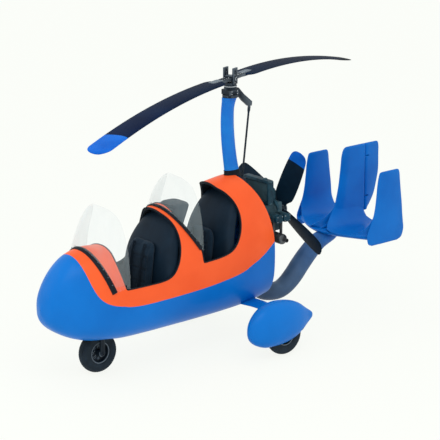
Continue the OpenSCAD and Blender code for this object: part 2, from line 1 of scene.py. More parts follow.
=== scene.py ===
import bpy, bmesh, json, math
import numpy as np
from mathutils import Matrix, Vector

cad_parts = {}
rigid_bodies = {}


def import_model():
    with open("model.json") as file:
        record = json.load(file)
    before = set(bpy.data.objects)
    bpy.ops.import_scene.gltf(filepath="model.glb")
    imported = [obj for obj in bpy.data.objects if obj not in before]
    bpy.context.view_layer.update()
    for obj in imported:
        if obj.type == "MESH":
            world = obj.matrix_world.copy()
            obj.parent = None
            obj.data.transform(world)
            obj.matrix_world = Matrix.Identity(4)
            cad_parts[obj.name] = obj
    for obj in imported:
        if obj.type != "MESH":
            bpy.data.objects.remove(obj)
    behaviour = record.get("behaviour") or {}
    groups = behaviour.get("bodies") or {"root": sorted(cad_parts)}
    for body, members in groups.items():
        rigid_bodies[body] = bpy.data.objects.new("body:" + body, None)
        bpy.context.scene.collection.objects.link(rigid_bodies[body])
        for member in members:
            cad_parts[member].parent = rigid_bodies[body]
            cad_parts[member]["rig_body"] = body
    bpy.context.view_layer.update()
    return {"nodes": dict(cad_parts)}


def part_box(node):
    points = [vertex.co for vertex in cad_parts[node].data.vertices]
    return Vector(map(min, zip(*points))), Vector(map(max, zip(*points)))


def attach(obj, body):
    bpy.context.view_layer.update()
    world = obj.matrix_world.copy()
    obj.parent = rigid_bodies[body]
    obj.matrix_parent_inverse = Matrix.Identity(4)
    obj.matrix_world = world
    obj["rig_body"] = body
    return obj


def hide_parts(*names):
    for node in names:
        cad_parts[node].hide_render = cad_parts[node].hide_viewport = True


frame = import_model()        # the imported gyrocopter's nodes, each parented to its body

nodes = frame["nodes"]

# camera first: ahead of the port beam and a little above
camera = {"target": (0.13, 0.0, 1.22), "ahead": 40, "above": 16, "distance": 19.68, "lens": 163.8}
ahead, above = math.radians(camera["ahead"]), math.radians(camera["above"])
back = Vector((math.sin(ahead) * math.cos(above), math.cos(ahead) * math.cos(above), math.sin(above)))
cameraData = bpy.data.cameras.new("camera")
cameraData.lens = camera["lens"]
cameraObject = bpy.data.objects.new("camera", cameraData)
bpy.context.scene.collection.objects.link(cameraObject)
cameraObject.location = Vector(camera["target"]) + back * camera["distance"]
cameraObject.rotation_euler = back.to_track_quat("Z", "Y").to_euler()
bpy.context.scene.camera = cameraObject
bpy.context.scene.view_settings.view_transform = "Standard"


# curves and surfaces

def splineRows(rows, samples, weights=1.0):
    # smooth curve through the rows: a cubic in each gap, with the slope at a row taken from its two neighbours;
    # the weights keep a column of degrees from counting as distance
    rows = np.asarray(rows, float)
    knots = np.concatenate([[0], np.cumsum(np.linalg.norm(np.diff(rows, axis=0) * weights, axis=1) ** 0.6)])
    slopes = np.gradient(rows, knots, axis=0)
    at = np.linspace(0, knots[-1], samples)
    cell = np.clip(np.searchsorted(knots, at, side="right") - 1, 0, len(knots) - 2)
    step = (knots[cell + 1] - knots[cell])[:, None]
    s = (at - knots[cell])[:, None] / step
    return ((1 + 2 * s) * (1 - s) ** 2 * rows[cell] + s * (1 - s) ** 2 * step * slopes[cell]
            + s * s * (3 - 2 * s) * rows[cell + 1] + s * s * (s - 1) * step * slopes[cell + 1])


def roundCorners(points, rounds=3):
    # each corner is cut at a quarter of its two sides, again and again, until the line is smooth
    points = np.asarray(points, float)
    for _ in range(rounds):
        a, b = points[:-1], points[1:]
        cut = np.stack([0.75 * a + 0.25 * b, 0.25 * a + 0.75 * b], 1).reshape(-1, points.shape[1])
        points = np.concatenate([points[:1], cut, points[-1:]])
    return points


def evenly(path, count):
    # the same line with points at equal steps along it
    path = np.asarray(path, float)
    run = np.concatenate([[0], np.cumsum(np.linalg.norm(np.diff(path, axis=0), axis=1))])
    at = np.linspace(0, run[-1], count)
    return np.stack([np.interp(at, run, path[:, k]) for k in range(path.shape[1])], 1)


def powerRing(angle, power):
    # flattened circle: cosine and sine raised to 2 / power, with their signs kept
    c, s = np.cos(angle), np.sin(angle)
    return np.sign(c) * np.abs(c) ** (2 / power), np.sign(s) * np.abs(s) ** (2 / power)


def unit(vectors):
    # each vector over its own length
    return vectors / np.maximum(np.linalg.norm(vectors, axis=-1, keepdims=True), 1e-12)


def circle(steps):
    # angles of even steps once round
    return np.linspace(0, 2 * np.pi, steps, endpoint=False)


def points(*columns):
    # grids or single numbers spread to one shape and stacked as coordinates
    return np.stack(np.broadcast_arrays(*columns), -1)


def eased(share):
    # slow at both ends: three squares less two cubes
    return share * share * (3 - 2 * share)


def gridFaces(rows, columns, wrapRows=False, wrapColumns=True):
    # four corners of each cell of a grid whose points are numbered row by row
    i, j = np.meshgrid(np.arange(rows if wrapRows else rows - 1),
                       np.arange(columns if wrapColumns else columns - 1), indexing="ij")
    ni, nj = (i + 1) % rows, (j + 1) % columns
    return np.stack([i * columns + j, ni * columns + j, ni * columns + nj, i * columns + nj], -1).reshape(-1, 4)


def halved(quads):
    # two triangles from each cell
    return np.concatenate([quads[:, [0, 1, 2]], quads[:, [0, 2, 3]]])


def outward(verts, faces):
    # faces are turned over if most of them look at the middle of the shape
    a, b, c = (verts[faces[:, k]] for k in range(3))
    look = (np.cross(b - a, c - a) * ((a + b + c) / 3 - verts.mean(0))).sum()
    return faces if look > 0 else faces[:, ::-1]


def closedLoft(rings, wrap=False):
    # rings of points joined one to the next; each end is closed by a fan to its middle, or the last ring meets the
    # first
    rings = np.asarray(rings, float)
    count, around = rings.shape[:2]
    verts, sets = rings.reshape(-1, 3), [gridFaces(count, around, wrap)]
    if not wrap:
        verts = np.concatenate([verts, rings[0].mean(0)[None], rings[-1].mean(0)[None]])
        j, end = np.arange(around), (count - 1) * around
        k = (j + 1) % around
        sets += [points(j, k, count * around), points(end + k, end + j, count * around + 1)]
    volume = sum((verts[f[:, 0]] * np.cross(verts[f[:, k]], verts[f[:, k + 1]])).sum()
                 for f in sets for k in range(1, f.shape[1] - 1))
    return verts, sets if volume > 0 else turnedOver(sets)


def turnedOver(sets):
    # faces with their corners in the other order
    return [f[:, ::-1] for f in sets]


def mirrored(shape):
    # the same shape on the other side of the middle
    return shape[0] * (1, -1, 1), turnedOver(shape[1])


def ringBody(profile, centre, axis, segments=48, wrap=False):
    # profile of radius and height turned about an axis through the centre
    profile = np.asarray(profile, float)
    axis = unit(np.asarray(axis, float))
    side = unit(np.cross(axis, (0.31, 0.95, 0.11)))      # from any direction that is never the axis
    turn = circle(segments)[:, None]
    spoke = np.cos(turn) * side + np.sin(turn) * np.cross(axis, side)
    return closedLoft(np.asarray(centre, float) + profile[:, None, :1] * spoke + profile[:, None, 1:] * axis, wrap)


def tube(path, radius, sides=14, plane=(0, 0, 1), closed=False, flat=1.0):
    # circle, or ellipse, carried along a path; plane is roughly square to the bends
    path = np.asarray(path, float)
    ahead = unit(np.roll(path, -1, 0) - np.roll(path, 1, 0)) if closed else unit(np.gradient(path, axis=0))
    across = unit(np.cross(ahead, plane))
    turn = circle(sides)[:, None]
    radius = np.broadcast_to(np.asarray(radius, float), len(path))[:, None, None]
    ring = np.cos(turn) * across[:, None] + flat * np.sin(turn) * np.cross(ahead, across)[:, None]
    return closedLoft(path[:, None] + radius * ring, closed)


def merged(*shapes):
    verts, sets, start = [], [], 0
    for v, s in shapes:
        verts.append(v)
        sets += [f + start for f in s]
        start += len(v)
    return np.concatenate(verts), sets


def bolts(centres, axis, radius=0.006, height=0.006):
    # hexagon heads with a chamfer, one for each centre
    centres = np.atleast_2d(np.asarray(centres, float))
    profile = [(radius, 0), (radius, height * 0.8), (radius * 0.8, height)]
    verts, sets = ringBody(profile, (0, 0, 0), axis, 6)
    every = (centres[:, None] + verts[None]).reshape(-1, 3)
    shift = (np.arange(len(centres)) * len(verts))[:, None, None]
    return every, [(f[None] + shift).reshape(-1, f.shape[1]) for f in sets]


def slab(low, high, power=6, across=28, up=20):
    # block with rounded edges: a superellipsoid between two corners
    low, high = np.asarray(low, float), np.asarray(high, float)
    cu, su = powerRing(np.linspace(-np.pi / 2 + 0.02, np.pi / 2 - 0.02, up)[:, None], power)
    ca, sa = powerRing(circle(across) + 0.001, power)
    return closedLoft((low + high) / 2 + points(cu * ca, cu * sa, su) * (high - low) / 2)


def clipped(params, tris, field):
    # keeps the side where the field is positive; a triangle that crosses zero is cut along the line
    inside = field >= 0
    count = inside[tris].sum(1)
    pieces, pairs = [tris[count == 3]], []
    for wanted in (1, 2):
        cut = tris[count == wanted]
        lone = inside[cut] if wanted == 1 else ~inside[cut]
        cut = np.take_along_axis(cut, (lone.argmax(1)[:, None] + np.arange(3)) % 3, 1)
        pairs.append(cut)
    edges = np.concatenate([p[:, [0, k]] for p in pairs for k in (1, 2)])
    ordered = np.sort(edges, 1)
    kept, index = np.unique(ordered, axis=0, return_inverse=True)
    index = index.reshape(-1) + len(params)
    share = field[kept[:, 0]] / (field[kept[:, 0]] - field[kept[:, 1]])
    fresh = params[kept[:, 0]] + share[:, None] * (params[kept[:, 1]] - params[kept[:, 0]])
    n1, n2 = len(pairs[0]), len(pairs[1])
    ab1, ac1, ab2, ac2 = np.split(index, np.cumsum([n1, n1, n2]))
    pieces.append(np.stack([pairs[0][:, 0], ab1, ac1], 1))
    pieces.append(np.stack([ab2, pairs[1][:, 1], pairs[1][:, 2]], 1))
    pieces.append(np.stack([ab2, pairs[1][:, 2], ac2], 1))
    params, tris = np.concatenate([params, fresh]), np.concatenate(pieces)
    used, index = np.unique(tris, return_inverse=True)
    return params[used], index.reshape(-1, 3)


def outlineDistance(spots, outline):
    # distance from each place in the side view to a closed outline, negative inside it
    spots, outline = spots[:, [0, 2]], np.asarray(outline, float)
    best = np.full(len(spots), 1e9)
    inside = np.zeros(len(spots), bool)
    for p, q in zip(outline, np.roll(outline, -1, 0)):
        d = q - p
        share = np.clip(((spots - p) @ d) / max(d @ d, 1e-12), 0, 1)
        best = np.minimum(best, np.linalg.norm(spots - p - share[:, None] * d, axis=1))
        crosses = (p[1] > spots[:, 1]) != (q[1] > spots[:, 1])
        if p[1] != q[1]:
            inside ^= crosses & (spots[:, 0] < (q[0] - p[0]) * (spots[:, 1] - p[1]) / (q[1] - p[1]) + p[0])
    return np.where(inside, -best, best)


def vertexNormals(verts, tris):
    # sum of the area-weighted normals of the triangles round each point, at length one
    a, b, c = (verts[tris[:, k]] for k in range(3))
    face = np.cross(b - a, c - a)
    total = np.zeros_like(verts)
    for k in range(3):
        np.add.at(total, tris[:, k], face)
    return unit(total)


def thickened(verts, tris, depth):
    # a second wall one depth in along the normals, and a rim between the two open edges
    inner = verts - vertexNormals(verts, tris) * depth
    n = len(verts)
    directed = np.concatenate([tris[:, [0, 1]], tris[:, [1, 2]], tris[:, [2, 0]]])
    key = directed[:, 0].astype(np.int64) * n + directed[:, 1]
    reverse = directed[:, 1].astype(np.int64) * n + directed[:, 0]
    rim = directed[~np.isin(key, reverse)]
    walls = np.stack([rim[:, 1], rim[:, 0], rim[:, 0] + n, rim[:, 1] + n], 1)
    return np.concatenate([verts, inner]), [tris, tris[:, ::-1] + n, walls]


def eggTable(rows, samples, least):
    # station table of an egg-shaped body
    table = splineRows(rows, samples)
    table[:, 1] = np.maximum(table[:, 1], least)      # the ends stay a hair open, so that no ring is a single point
    return table


def eggSurface(params, egg):
    # at a station along the egg, a ring that is a flattened circle above the widest point and a squarer one below it
    table = egg["table"]
    station = params[:, 0] * (len(table) - 1)
    x, half, bottom, widest, top = (np.interp(station, np.arange(len(table)), column) for column in table.T)
    upper = np.sin(params[:, 1]) >= 0
    c, s = powerRing(params[:, 1], np.where(upper, *egg["powers"]))
    return points(x, half * c, widest + s * np.where(upper, top - widest, widest - bottom))


def eggShell(egg, fields):
    # the egg's skin where every field of its places is positive, welded, and with its wall inside
    stations, around = egg["stations"], egg["around"] + 1
    along, turn = np.linspace(0, 1, stations), np.linspace(0, 2 * np.pi, around)
    params = points(*np.meshgrid(along, turn, indexing="ij")).reshape(-1, 2)
    tris = halved(gridFaces(stations, around, wrapColumns=False))
    for field in fields:
        params, tris = clipped(params, tris, field(eggSurface(params, egg)))
    verts = eggSurface(params, egg)
    cells = np.round(verts * 1e5).astype(np.int64)
    keep, index = np.unique(cells, axis=0, return_index=True, return_inverse=True)[1:]
    verts, tris = verts[keep], index.reshape(-1)[tris]
    tris = tris[(tris != np.roll(tris, -1, 1)).all(1)]
    return thickened(verts, outward(verts, tris), egg["wall"])


def meshFrom(name, verts, faceSets):
    # mesh from an array of points and arrays of faces with three or four corners
    faceSets = [f for f in faceSets if len(f)]
    loops = np.concatenate([f.reshape(-1) for f in faceSets]).astype(np.int32)
    sizes = np.concatenate([np.full(len(f), f.shape[1]) for f in faceSets])
    mesh = bpy.data.meshes.new(name)
    mesh.vertices.add(len(verts))
    mesh.vertices.foreach_set("co", np.asarray(verts, np.float32).ravel())
    mesh.loops.add(len(loops))
    mesh.loops.foreach_set("vertex_index", loops)
    mesh.polygons.add(len(sizes))
    mesh.polygons.foreach_set("loop_start", np.concatenate([[0], np.cumsum(sizes)[:-1]]).astype(np.int32))
    mesh.update(calc_edges=True)
    mesh.validate()
    return mesh


def placed(name, data):
    # object at the origin, in the scene
    thing = bpy.data.objects.new(name, data)
    bpy.context.scene.collection.objects.link(thing)
    return thing


def addPiece(name, shape, material, body="airframe", stands=None, sharp=38, marks=None):
    # a finished piece that rides on a body and, where named, stands for a solid
    mesh = meshFrom(name, *shape)
    if marks is not None:      # one number for each point, read by the material
        mesh.attributes.new("along", "FLOAT", "POINT").data.foreach_set("value", np.asarray(marks, np.float32))
    mesh.shade_smooth()
    mesh.set_sharp_from_angle(angle=math.radians(sharp))
    mesh.materials.append(material)
    piece = placed(name, mesh)
    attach(piece, body)
    if stands:
        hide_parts(stands)
    return piece


def softened(node, name, material, width=0.003):
    # a copy of a machined solid whose edges are rounded to catch the light
    source = nodes[node]
    work = bmesh.new()
    work.from_mesh(source.data)
    bmesh.ops.remove_doubles(work, verts=work.verts, dist=2e-5)
    bmesh.ops.dissolve_limit(work, angle_limit=math.radians(1.5), verts=work.verts, edges=work.edges)
    mesh = bpy.data.meshes.new(name)
    work.to_mesh(mesh)
    work.free()
    mesh.shade_smooth()
    mesh.materials.clear()
    mesh.materials.append(material)
    piece = placed(name, mesh)
    bevel = piece.modifiers.new("roundedEdges", "BEVEL")
    bevel.width, bevel.segments, bevel.limit_method = width, 2, "ANGLE"
    bevel.angle_limit, bevel.harden_normals = math.radians(40), True
    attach(piece, source["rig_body"])
    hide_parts(node)


def linear(red, green, blue):
    # screen colour from 0 to 255, as light: the standard curve of 2.4 with its straight foot
    return [((v / 255 + 0.055) / 1.055) ** 2.4 if v > 10 else v / 255 / 12.92 for v in (red, green, blue)] + [1.0]


def setInputs(node, inputs):
    # each input gets a value, or is joined to another node's output
    for key, value in inputs.items():
        if isinstance(value, bpy.types.NodeSocket):
            node.id_data.links.new(value, node.inputs[key])
        else:
            node.inputs[key].default_value = value


def addNode(tree, kind, inputs={}, **settings):
    # a node with its settings first, then its inputs
    node = tree.nodes.new("ShaderNode" + kind)
    for key, value in settings.items():
        setattr(node, key, value)
    setInputs(node, inputs)
    return node


def setStops(ramp, stops):
    # each stop as place and colour
    elements = ramp.color_ramp.elements
    for k, (position, colour) in enumerate(stops):
        element = elements[k] if k < 2 else elements.new(position)
        element.position, element.color = position, linear(*colour)


def finish(name, slot, colour, shade, roughness=0.4, metallic=0.0, coat=0.0, mottle=3.0, grain=180.0, bump=0.12,
           depth=0.0006, spread=0.12, sheen=0.0, wear=None, alpha=1.0, specular=0.5):
    # a colour that drifts into its shade in soft patches, with a grain that moves both roughness and height
    material = bpy.data.materials.new(name)
    material.use_nodes = True
    tree = material.node_tree
    place = addNode(tree, "TexCoord").outputs["Object"]
    patches = addNode(tree, "TexNoise", {"Scale": mottle, "Detail": 6, "Vector": place})
    ramp = addNode(tree, "ValToRGB", {"Fac": patches.outputs["Fac"]})
    setStops(ramp, [(0.34, shade), (0.66, colour)])
    last = ramp.outputs["Color"]
    if wear:      # rubbed edges show the layer below
        sharpness = addNode(tree, "NewGeometry").outputs["Pointiness"]
        edge = addNode(tree, "MapRange", {"From Min": 0.53, "From Max": 0.62, "Value": sharpness})
        last = addNode(tree, "Mix", {0: edge.outputs["Result"], 6: last, 7: linear(*wear)}, data_type="RGBA").outputs[2]
    fine = addNode(tree, "TexNoise", {"Scale": grain, "Detail": 4, "Vector": place}).outputs["Fac"]
    smoothest, roughest = max(0.02, roughness - spread), min(1.0, roughness + spread)
    rough = addNode(tree, "MapRange", {"To Min": smoothest, "To Max": roughest, "Value": fine})
    height = addNode(tree, "Bump", {"Strength": bump, "Distance": depth, "Height": fine})
    setInputs(tree.nodes["Principled BSDF"], {
        "Base Color": last, "Roughness": rough.outputs["Result"], "Normal": height.outputs["Normal"],
        "Metallic": metallic, "Coat Weight": coat, "Coat Roughness": 0.12, "Sheen Weight": sheen,
        "Specular IOR Level": specular, "Alpha": alpha})
    return material


def banded(material, stops):
    # colours laid along a piece by its own marks, multiplied into the patches
    tree = material.node_tree
    base = tree.nodes["Principled BSDF"].inputs["Base Color"]
    ramp = addNode(tree, "ValToRGB", {"Fac": addNode(tree, "Attribute", attribute_name="along").outputs["Fac"]})
    setStops(ramp, stops)
    mix = addNode(tree, "Mix", {0: 1, 6: base.links[0].from_socket, 7: ramp.outputs["Color"]},
                  data_type="RGBA", blend_type="MULTIPLY")
    tree.links.new(mix.outputs[2], base)
    return material


def nodeOf(material, kind):
    # first node of a kind in a finish
    return next(n for n in material.node_tree.nodes if n.type == kind)


def woven(material, pitch=90.0, strength=0.5, depth=0.0008):
    # threads over and under: two bands of waves at right angles, multiplied, as height
    tree, place = material.node_tree, nodeOf(material, "TEX_COORD").outputs["Object"]
    waves = {"Scale": pitch, "Distortion": 0.6, "Vector": place}
    over, under = (addNode(tree, "TexWave", waves, bands_direction=way).outputs["Fac"] for way in ("DIAGONAL", "Z"))
    both = addNode(tree, "Math", {0: over, 1: under}, operation="MULTIPLY").outputs[0]
    setInputs(nodeOf(material, "BUMP"), {"Height": both, "Strength": strength, "Distance": depth})
    return material


def streaked(material, faintestReflection=0.08, strongestReflection=0.105):
    # streaks that run up the sheet: noise drawn out along Z moves how strongly its painted reflection shows
    tree, place = material.node_tree, nodeOf(material, "TEX_COORD").outputs["Object"]
    drawn = addNode(tree, "Mapping", {"Scale": (9, 9, 0.9), "Vector": place}).outputs["Vector"]
    noise = addNode(tree, "TexNoise", {"Scale": 1.6, "Detail": 3, "Vector": drawn}).outputs["Fac"]
    span = addNode(tree, "MapRange", {"From Min": 0.35, "From Max": 0.68, "To Min": faintestReflection, "To Max": strongestReflection,
                                      "Value": noise})
    tree.links.new(span.outputs["Result"], tree.nodes["Principled BSDF"].inputs["Alpha"])
    return material


paintLook = {"roughness": 0.36, "coat": 0.05, "bump": 0.05, "specular": 0.12}
bladeLook = {"roughness": 0.6, "mottle": 3.5, "bump": 0.06, "specular": 0.04}
bluePaint = finish("podBluePaint", "blue_paint", (4, 114, 202), (1, 103, 188), mottle=1.6, **paintLook)
orangePaint = finish("podOrangePaint", "orange_paint", (252, 100, 48), (243, 90, 40), mottle=1.8, **paintLook)
mastPaint = finish("mastBluePaint", "blue_paint", (12, 120, 208), (3, 102, 198), 0.32, coat=0.12, mottle=5, bump=0.05,
                   specular=0.15)
tailPaint = finish("tailBluePaint", "blue_paint", (4, 110, 198), (1, 97, 184), 0.38, coat=0.04, mottle=2.4, bump=0.05,
                   specular=0.12)
liner = finish("cockpitLiner", "black_plastic", (22, 35, 46), (15, 27, 37), 0.75, mottle=9, grain=420, bump=0.3,
               depth=0.001, sheen=0.05, specular=0.1)
seatMoulding = finish("seatMoulding", "dark_composite", (18, 37, 53), (13, 29, 43), 0.55, mottle=5, grain=260,
                      bump=0.25, depth=0.0008, specular=0.12)
seatCloth = woven(finish("seatCloth", "upholstery", (27, 45, 60), (19, 35, 49), 0.88, mottle=11, grain=500, sheen=0.08,
                         specular=0.1))
webbing = woven(finish("harnessWebbing", "black_plastic", (26, 38, 50), (18, 28, 38), 0.85, mottle=30, sheen=0.05,
                       specular=0.1),
                220, 0.6, 0.0006)
bladeSkin = banded(finish("bladeSkin", "blade_composite", (250, 250, 250), (205, 212, 220), **bladeLook),
                   [(0.0, (6, 31, 56)), (0.848, (7, 29, 64)), (0.85, (30, 112, 214)), (1.0, (24, 104, 208))])
plainBladeSkin = banded(finish("plainBladeSkin", "blade_composite", (250, 250, 250), (200, 208, 218), **bladeLook),
                        [(0.0, (6, 31, 58)), (0.9, (7, 28, 54)), (0.93, (15, 26, 34)), (1.0, (16, 26, 34))])
propSkin = banded(finish("propellerSkin", "blade_composite", (250, 250, 250), (205, 212, 220), 0.5, mottle=8, bump=0.06,
                         specular=0.08),
                  [(0.0, (14, 36, 52)), (0.815, (13, 34, 50)), (0.82, (10, 100, 198)), (1.0, (6, 92, 190))])
boomPaint = banded(finish("boomPaint", "boom_paint", (252, 252, 252), (214, 220, 226), 0.45, mottle=6, bump=0.08,
                          specular=0.15),
                   [(0.0, (66, 86, 108)), (0.5, (74, 100, 132)), (0.72, (60, 98, 146)), (0.9, (22, 108, 192))])
darkMetal = finish("darkMetal", "dark_metal", (24, 38, 50), (14, 25, 35), 0.5, metallic=0.12, specular=0.2, mottle=24,
                   grain=300, bump=0.2, wear=(120, 132, 142))
castMetal = finish("castMetal", "dark_metal", (18, 62, 78), (10, 40, 54), 0.55, metallic=0.1, specular=0.25, mottle=20,
                   grain=520, bump=0.45, depth=0.0012, wear=(84, 110, 118))
brightMetal = finish("machinedMetal", "bright_metal", (176, 182, 188), (140, 147, 154), 0.28, metallic=0.95, mottle=30,
                     grain=380, bump=0.1)
pipeMetal = finish("heatedPipe", "bright_metal", (96, 100, 102), (54, 58, 64), 0.42, metallic=0.7, mottle=14, grain=260,
                   bump=0.15)
plastic = finish("grainedPlastic", "black_plastic", (34, 40, 46), (26, 31, 36), 0.6, mottle=14, grain=900, bump=0.5)
rubber = finish("tyreRubber", "tyre_rubber", (34, 46, 56), (25, 35, 44), 0.82, mottle=14, grain=600, bump=0.35,
                depth=0.001, sheen=0.04, specular=0.2)
sealRubber = finish("sealRubber", "black_plastic", (14, 24, 34), (9, 17, 26), 0.6, specular=0.2, mottle=20, grain=400,
                    bump=0.2)
dialFace = finish("dialFace", "black_plastic", (12, 14, 17), (9, 11, 13), 0.35, mottle=30, grain=300, bump=0.05)
whiteInk = finish("dialMarks", "bright_metal", (232, 234, 230), (214, 216, 212), 0.6, mottle=50)
# the pale colour, let through at about a tenth, is a painted reflection of the pale studio on the clear sheet
paintedReflectionSheet = streaked(finish("paintedReflectionSheet", "clear_sheet", (214, 226, 228), (196, 212, 214), 0.06, spread=0.03, coat=0.2,
                             specular=0.3, mottle=2.2, bump=0.02, alpha=0.25))
firewallSheet = finish("firewallSheet", "dark_composite", (120, 126, 130), (92, 98, 104), 0.38, metallic=0.7, mottle=9,
                       grain=240, bump=0.2)
carpet = finish("cockpitCarpet", "dark_composite", (36, 44, 52), (27, 34, 41), 0.92, mottle=16, grain=700, bump=0.7,
                depth=0.0015, sheen=0.3)
print("finishes made")

# pod
pod = {
    # x, half width, z of the bottom, z of the widest point, z of the top
    "rows": [[2.2935, 0.001, 0.742, 0.748, 0.754], [2.29, 0.025, 0.705, 0.75, 0.785], [2.25, 0.125, 0.6, 0.747, 0.925],
             [2.13, 0.208, 0.495, 0.737, 1.1], [1.97, 0.275, 0.415, 0.725, 1.215], [1.78, 0.33, 0.365, 0.72, 1.258],
             [1.55, 0.365, 0.338, 0.725, 1.25], [1.25, 0.382, 0.33, 0.74, 1.385], [0.95, 0.385, 0.33, 0.76, 1.5],
             [0.6, 0.38, 0.33, 0.78, 1.57], [0.25, 0.368, 0.335, 0.79, 1.64], [0.0, 0.35, 0.345, 0.8, 1.668],
             [-0.18, 0.328, 0.365, 0.8, 1.65], [-0.4, 0.292, 0.408, 0.8, 1.58]],
    "powers": (2.2, 2.8), "wall": 0.02, "stations": 210, "around": 144,
    "paintLine": [[1.99, 1.4], [1.95, 1.18], [1.9, 0.96], [1.825, 0.82], [1.69, 0.745], [1.5, 0.712], [1.3, 0.7],
                  [0.94, 0.706], [0.5, 0.722], [0.15, 0.765], [-0.1, 0.85], [-0.25, 0.93], [-0.5, 1.1]],
    "rearTrim": [[0.12, 1.8], [0.0, 1.69], [-0.15, 1.51], [-0.24, 1.34], [-0.295, 1.18], [-0.33, 1.0],
                 [-0.325, 0.7], [-0.32, 0.3]],
    "frontOpening": [[1.56, 1.9], [1.585, 1.23], [1.6, 1.15], [1.59, 1.05], [1.562, 0.915], [1.553, 0.88],
                     [1.52, 0.8805], [1.34, 0.882], [1.12, 0.885], [1.02, 0.915], [0.95, 1.0], [0.905, 1.12],
                     [0.89, 1.24], [0.905, 1.36], [0.945, 1.44], [0.99, 1.49], [1.01, 1.9]],
    "rearOpening": [[0.9, 1.9], [0.87, 1.48], [0.82, 1.37], [0.74, 1.24], [0.655, 1.12], [0.643, 1.0], [0.64, 0.97],
                    [0.61, 0.971], [0.43, 0.978], [0.29, 1.0], [0.205, 1.06], [0.14, 1.18], [0.12, 1.32], [0.15, 1.45],
                    [0.225, 1.56], [0.31, 1.615], [0.34, 1.9]],
    "well": {"x": 1.67, "radius": 0.225, "top": 0.55}, "sealRadius": 0.0065,
    # corners that close the paint line and the rear trim away from the pod
    "below": [[-0.5, 0.0], [2.6, 0.0], [2.6, 1.4]], "behind": [[-0.9, 0.3], [-0.9, 1.8]],
}
pod["table"] = eggTable(pod["rows"], 500, 0.0005)


def podAt(x, column):
    # a column of the pod's table at a station
    return np.interp(x, pod["table"][::-1, 0], pod["table"][::-1, column])


def skinY(x, z):
    # half width of the pod at a place in its side view
    rise = z - podAt(x, 3)
    share = np.abs(rise) / np.where(rise > 0, podAt(x, 4) - podAt(x, 3), podAt(x, 3) - podAt(x, 2))
    power = np.where(rise > 0, *pod["powers"])
    return podAt(x, 1) * np.clip(1 - share ** power, 0, 1) ** (1 / power)


def wheelWell(spots):
    # positive outside an upright cylinder round the nose wheel's leg
    gap = np.hypot(spots[:, 0] - pod["well"]["x"], spots[:, 1]) - pod["well"]["radius"]
    return np.where(spots[:, 2] < pod["well"]["top"], gap, 1.0)


lowerOutline = np.concatenate([roundCorners(pod["paintLine"]), pod["below"]])
outlines = [roundCorners(pod["frontOpening"]), roundCorners(pod["rearOpening"]),
            np.concatenate([roundCorners(pod["rearTrim"]), pod["behind"]])]
cuts = [lambda spots, outline=outline: outlineDistance(spots, outline) for outline in outlines] + [wheelWell]
for name, sign, paint, node in (("podLowerShell", -1, bluePaint, "lower_fuselage"),
                                ("podUpperShell", 1, orangePaint, "upper_fuselage")):
    shell, sets = eggShell(pod, cuts + [lambda spots: sign * outlineDistance(spots, lowerOutline)])
    piece = addPiece(name, (shell, sets), paint, stands=node)
    piece.data.materials.append(liner)      # on the inner wall and the rim
    inside = np.zeros(len(piece.data.polygons), np.int32)
    inside[len(sets[0]):] = 1
    piece.data.polygons.foreach_set("material_index", inside)


def rimPath(outline, count=260):
    # the part of an outline that lies on the pod, down one side and back up the other
    line = evenly(roundCorners(outline), 6000)
    half = skinY(line[:, 0], line[:, 1])
    onPod = (line[:, 1] < podAt(line[:, 0], 4) - 1e-5) & (half > 1e-4)
    line, half = line[onPod], half[onPod]
    port = points(line[:, 0], half, line[:, 1])
    return evenly(np.concatenate([port, port[::-1] * (1, -1, 1), port[:1]]), count + 1)[:-1]


for side in ("front", "rear"):
    seal = tube(rimPath(pod[side + "Opening"]), pod["sealRadius"], 10, (0.1, 0.02, 1), closed=True)
    addPiece(side + "OpeningSeal", seal, sealRubber)
print("pod made")

# windshields
frontGlass = {"foot": (1.67, 0.83), "rake": 20.4, "start": 1.75, "lowest": 0.25,
              "edge": [[1.512, 0.8], [1.512, 1.48], [1.535, 1.56], [1.59, 1.625], [1.65, 1.655]],
              "edgeBase": 0.885, "edgeHalf": 0.352, "crown": 0.11, "front": 0.235, "thick": 0.005, "seal": 0.028}
rearGlass = {"foot": (0.65, 1.09), "rake": 33, "start": 0.8, "lowest": 0.4,
             "edge": [[0.628, 0.9], [0.628, 1.63], [0.65, 1.71], [0.695, 1.765], [0.75, 1.8]],
             "edgeBase": 1.085, "edgeHalf": 0.352, "crown": 0.09, "front": 0.175, "thick": 0.005, "seal": 0.023}


def footLine(glass, columns):
    # where a raked plane meets the pod, found by sliding each point along the pod until it lies in the plane
    c, s = powerRing(np.linspace(glass["lowest"], np.pi - glass["lowest"], columns), pod["powers"][0])
    x = np.full(columns, glass["start"])
    for _ in range(40):
        z = podAt(x, 3) + s * (podAt(x, 4) - podAt(x, 3))
        x = 0.5 * x + 0.5 * (glass["foot"][0] + (z - glass["foot"][1]) * math.tan(math.radians(glass["rake"])))
    return points(x, (podAt(x, 1) + 0.004) * c, z + 0.004 * s)


def glassSheet(glass, columns=96, rows=48):
    # each line of the sheet is a four point curve from its open rear edge, over the crown, down to its foot on the pod
    foot = footLine(glass, columns)
    turn = np.linspace(0, np.pi, columns)
    c, s = powerRing(turn, 2.1)
    edge = roundCorners(glass["edge"], 4)
    z = glass["edgeBase"] + s * (edge[-1, 1] - glass["edgeBase"])
    rear = points(np.interp(z, edge[:, 1], edge[:, 0]), glass["edgeHalf"] * c, z)
    over = np.sin(turn)[:, None]
    first = rear + (0.05 * (1 - over) + glass["crown"] * over) * (1, 0, 0)
    second = foot + (1 - over) * (-0.05, 0, 0.004) + over * (0.004, 0, glass["front"])
    u = np.linspace(0, 1, rows)[:, None, None]
    sheet = (1 - u) ** 3 * rear + 3 * (1 - u) ** 2 * u * first + 3 * (1 - u) * u * u * second + u ** 3 * foot
    verts = sheet.reshape(-1, 3)
    tris = halved(gridFaces(rows, columns, wrapColumns=False))
    return thickened(verts, outward(verts, tris), glass["thick"]), foot


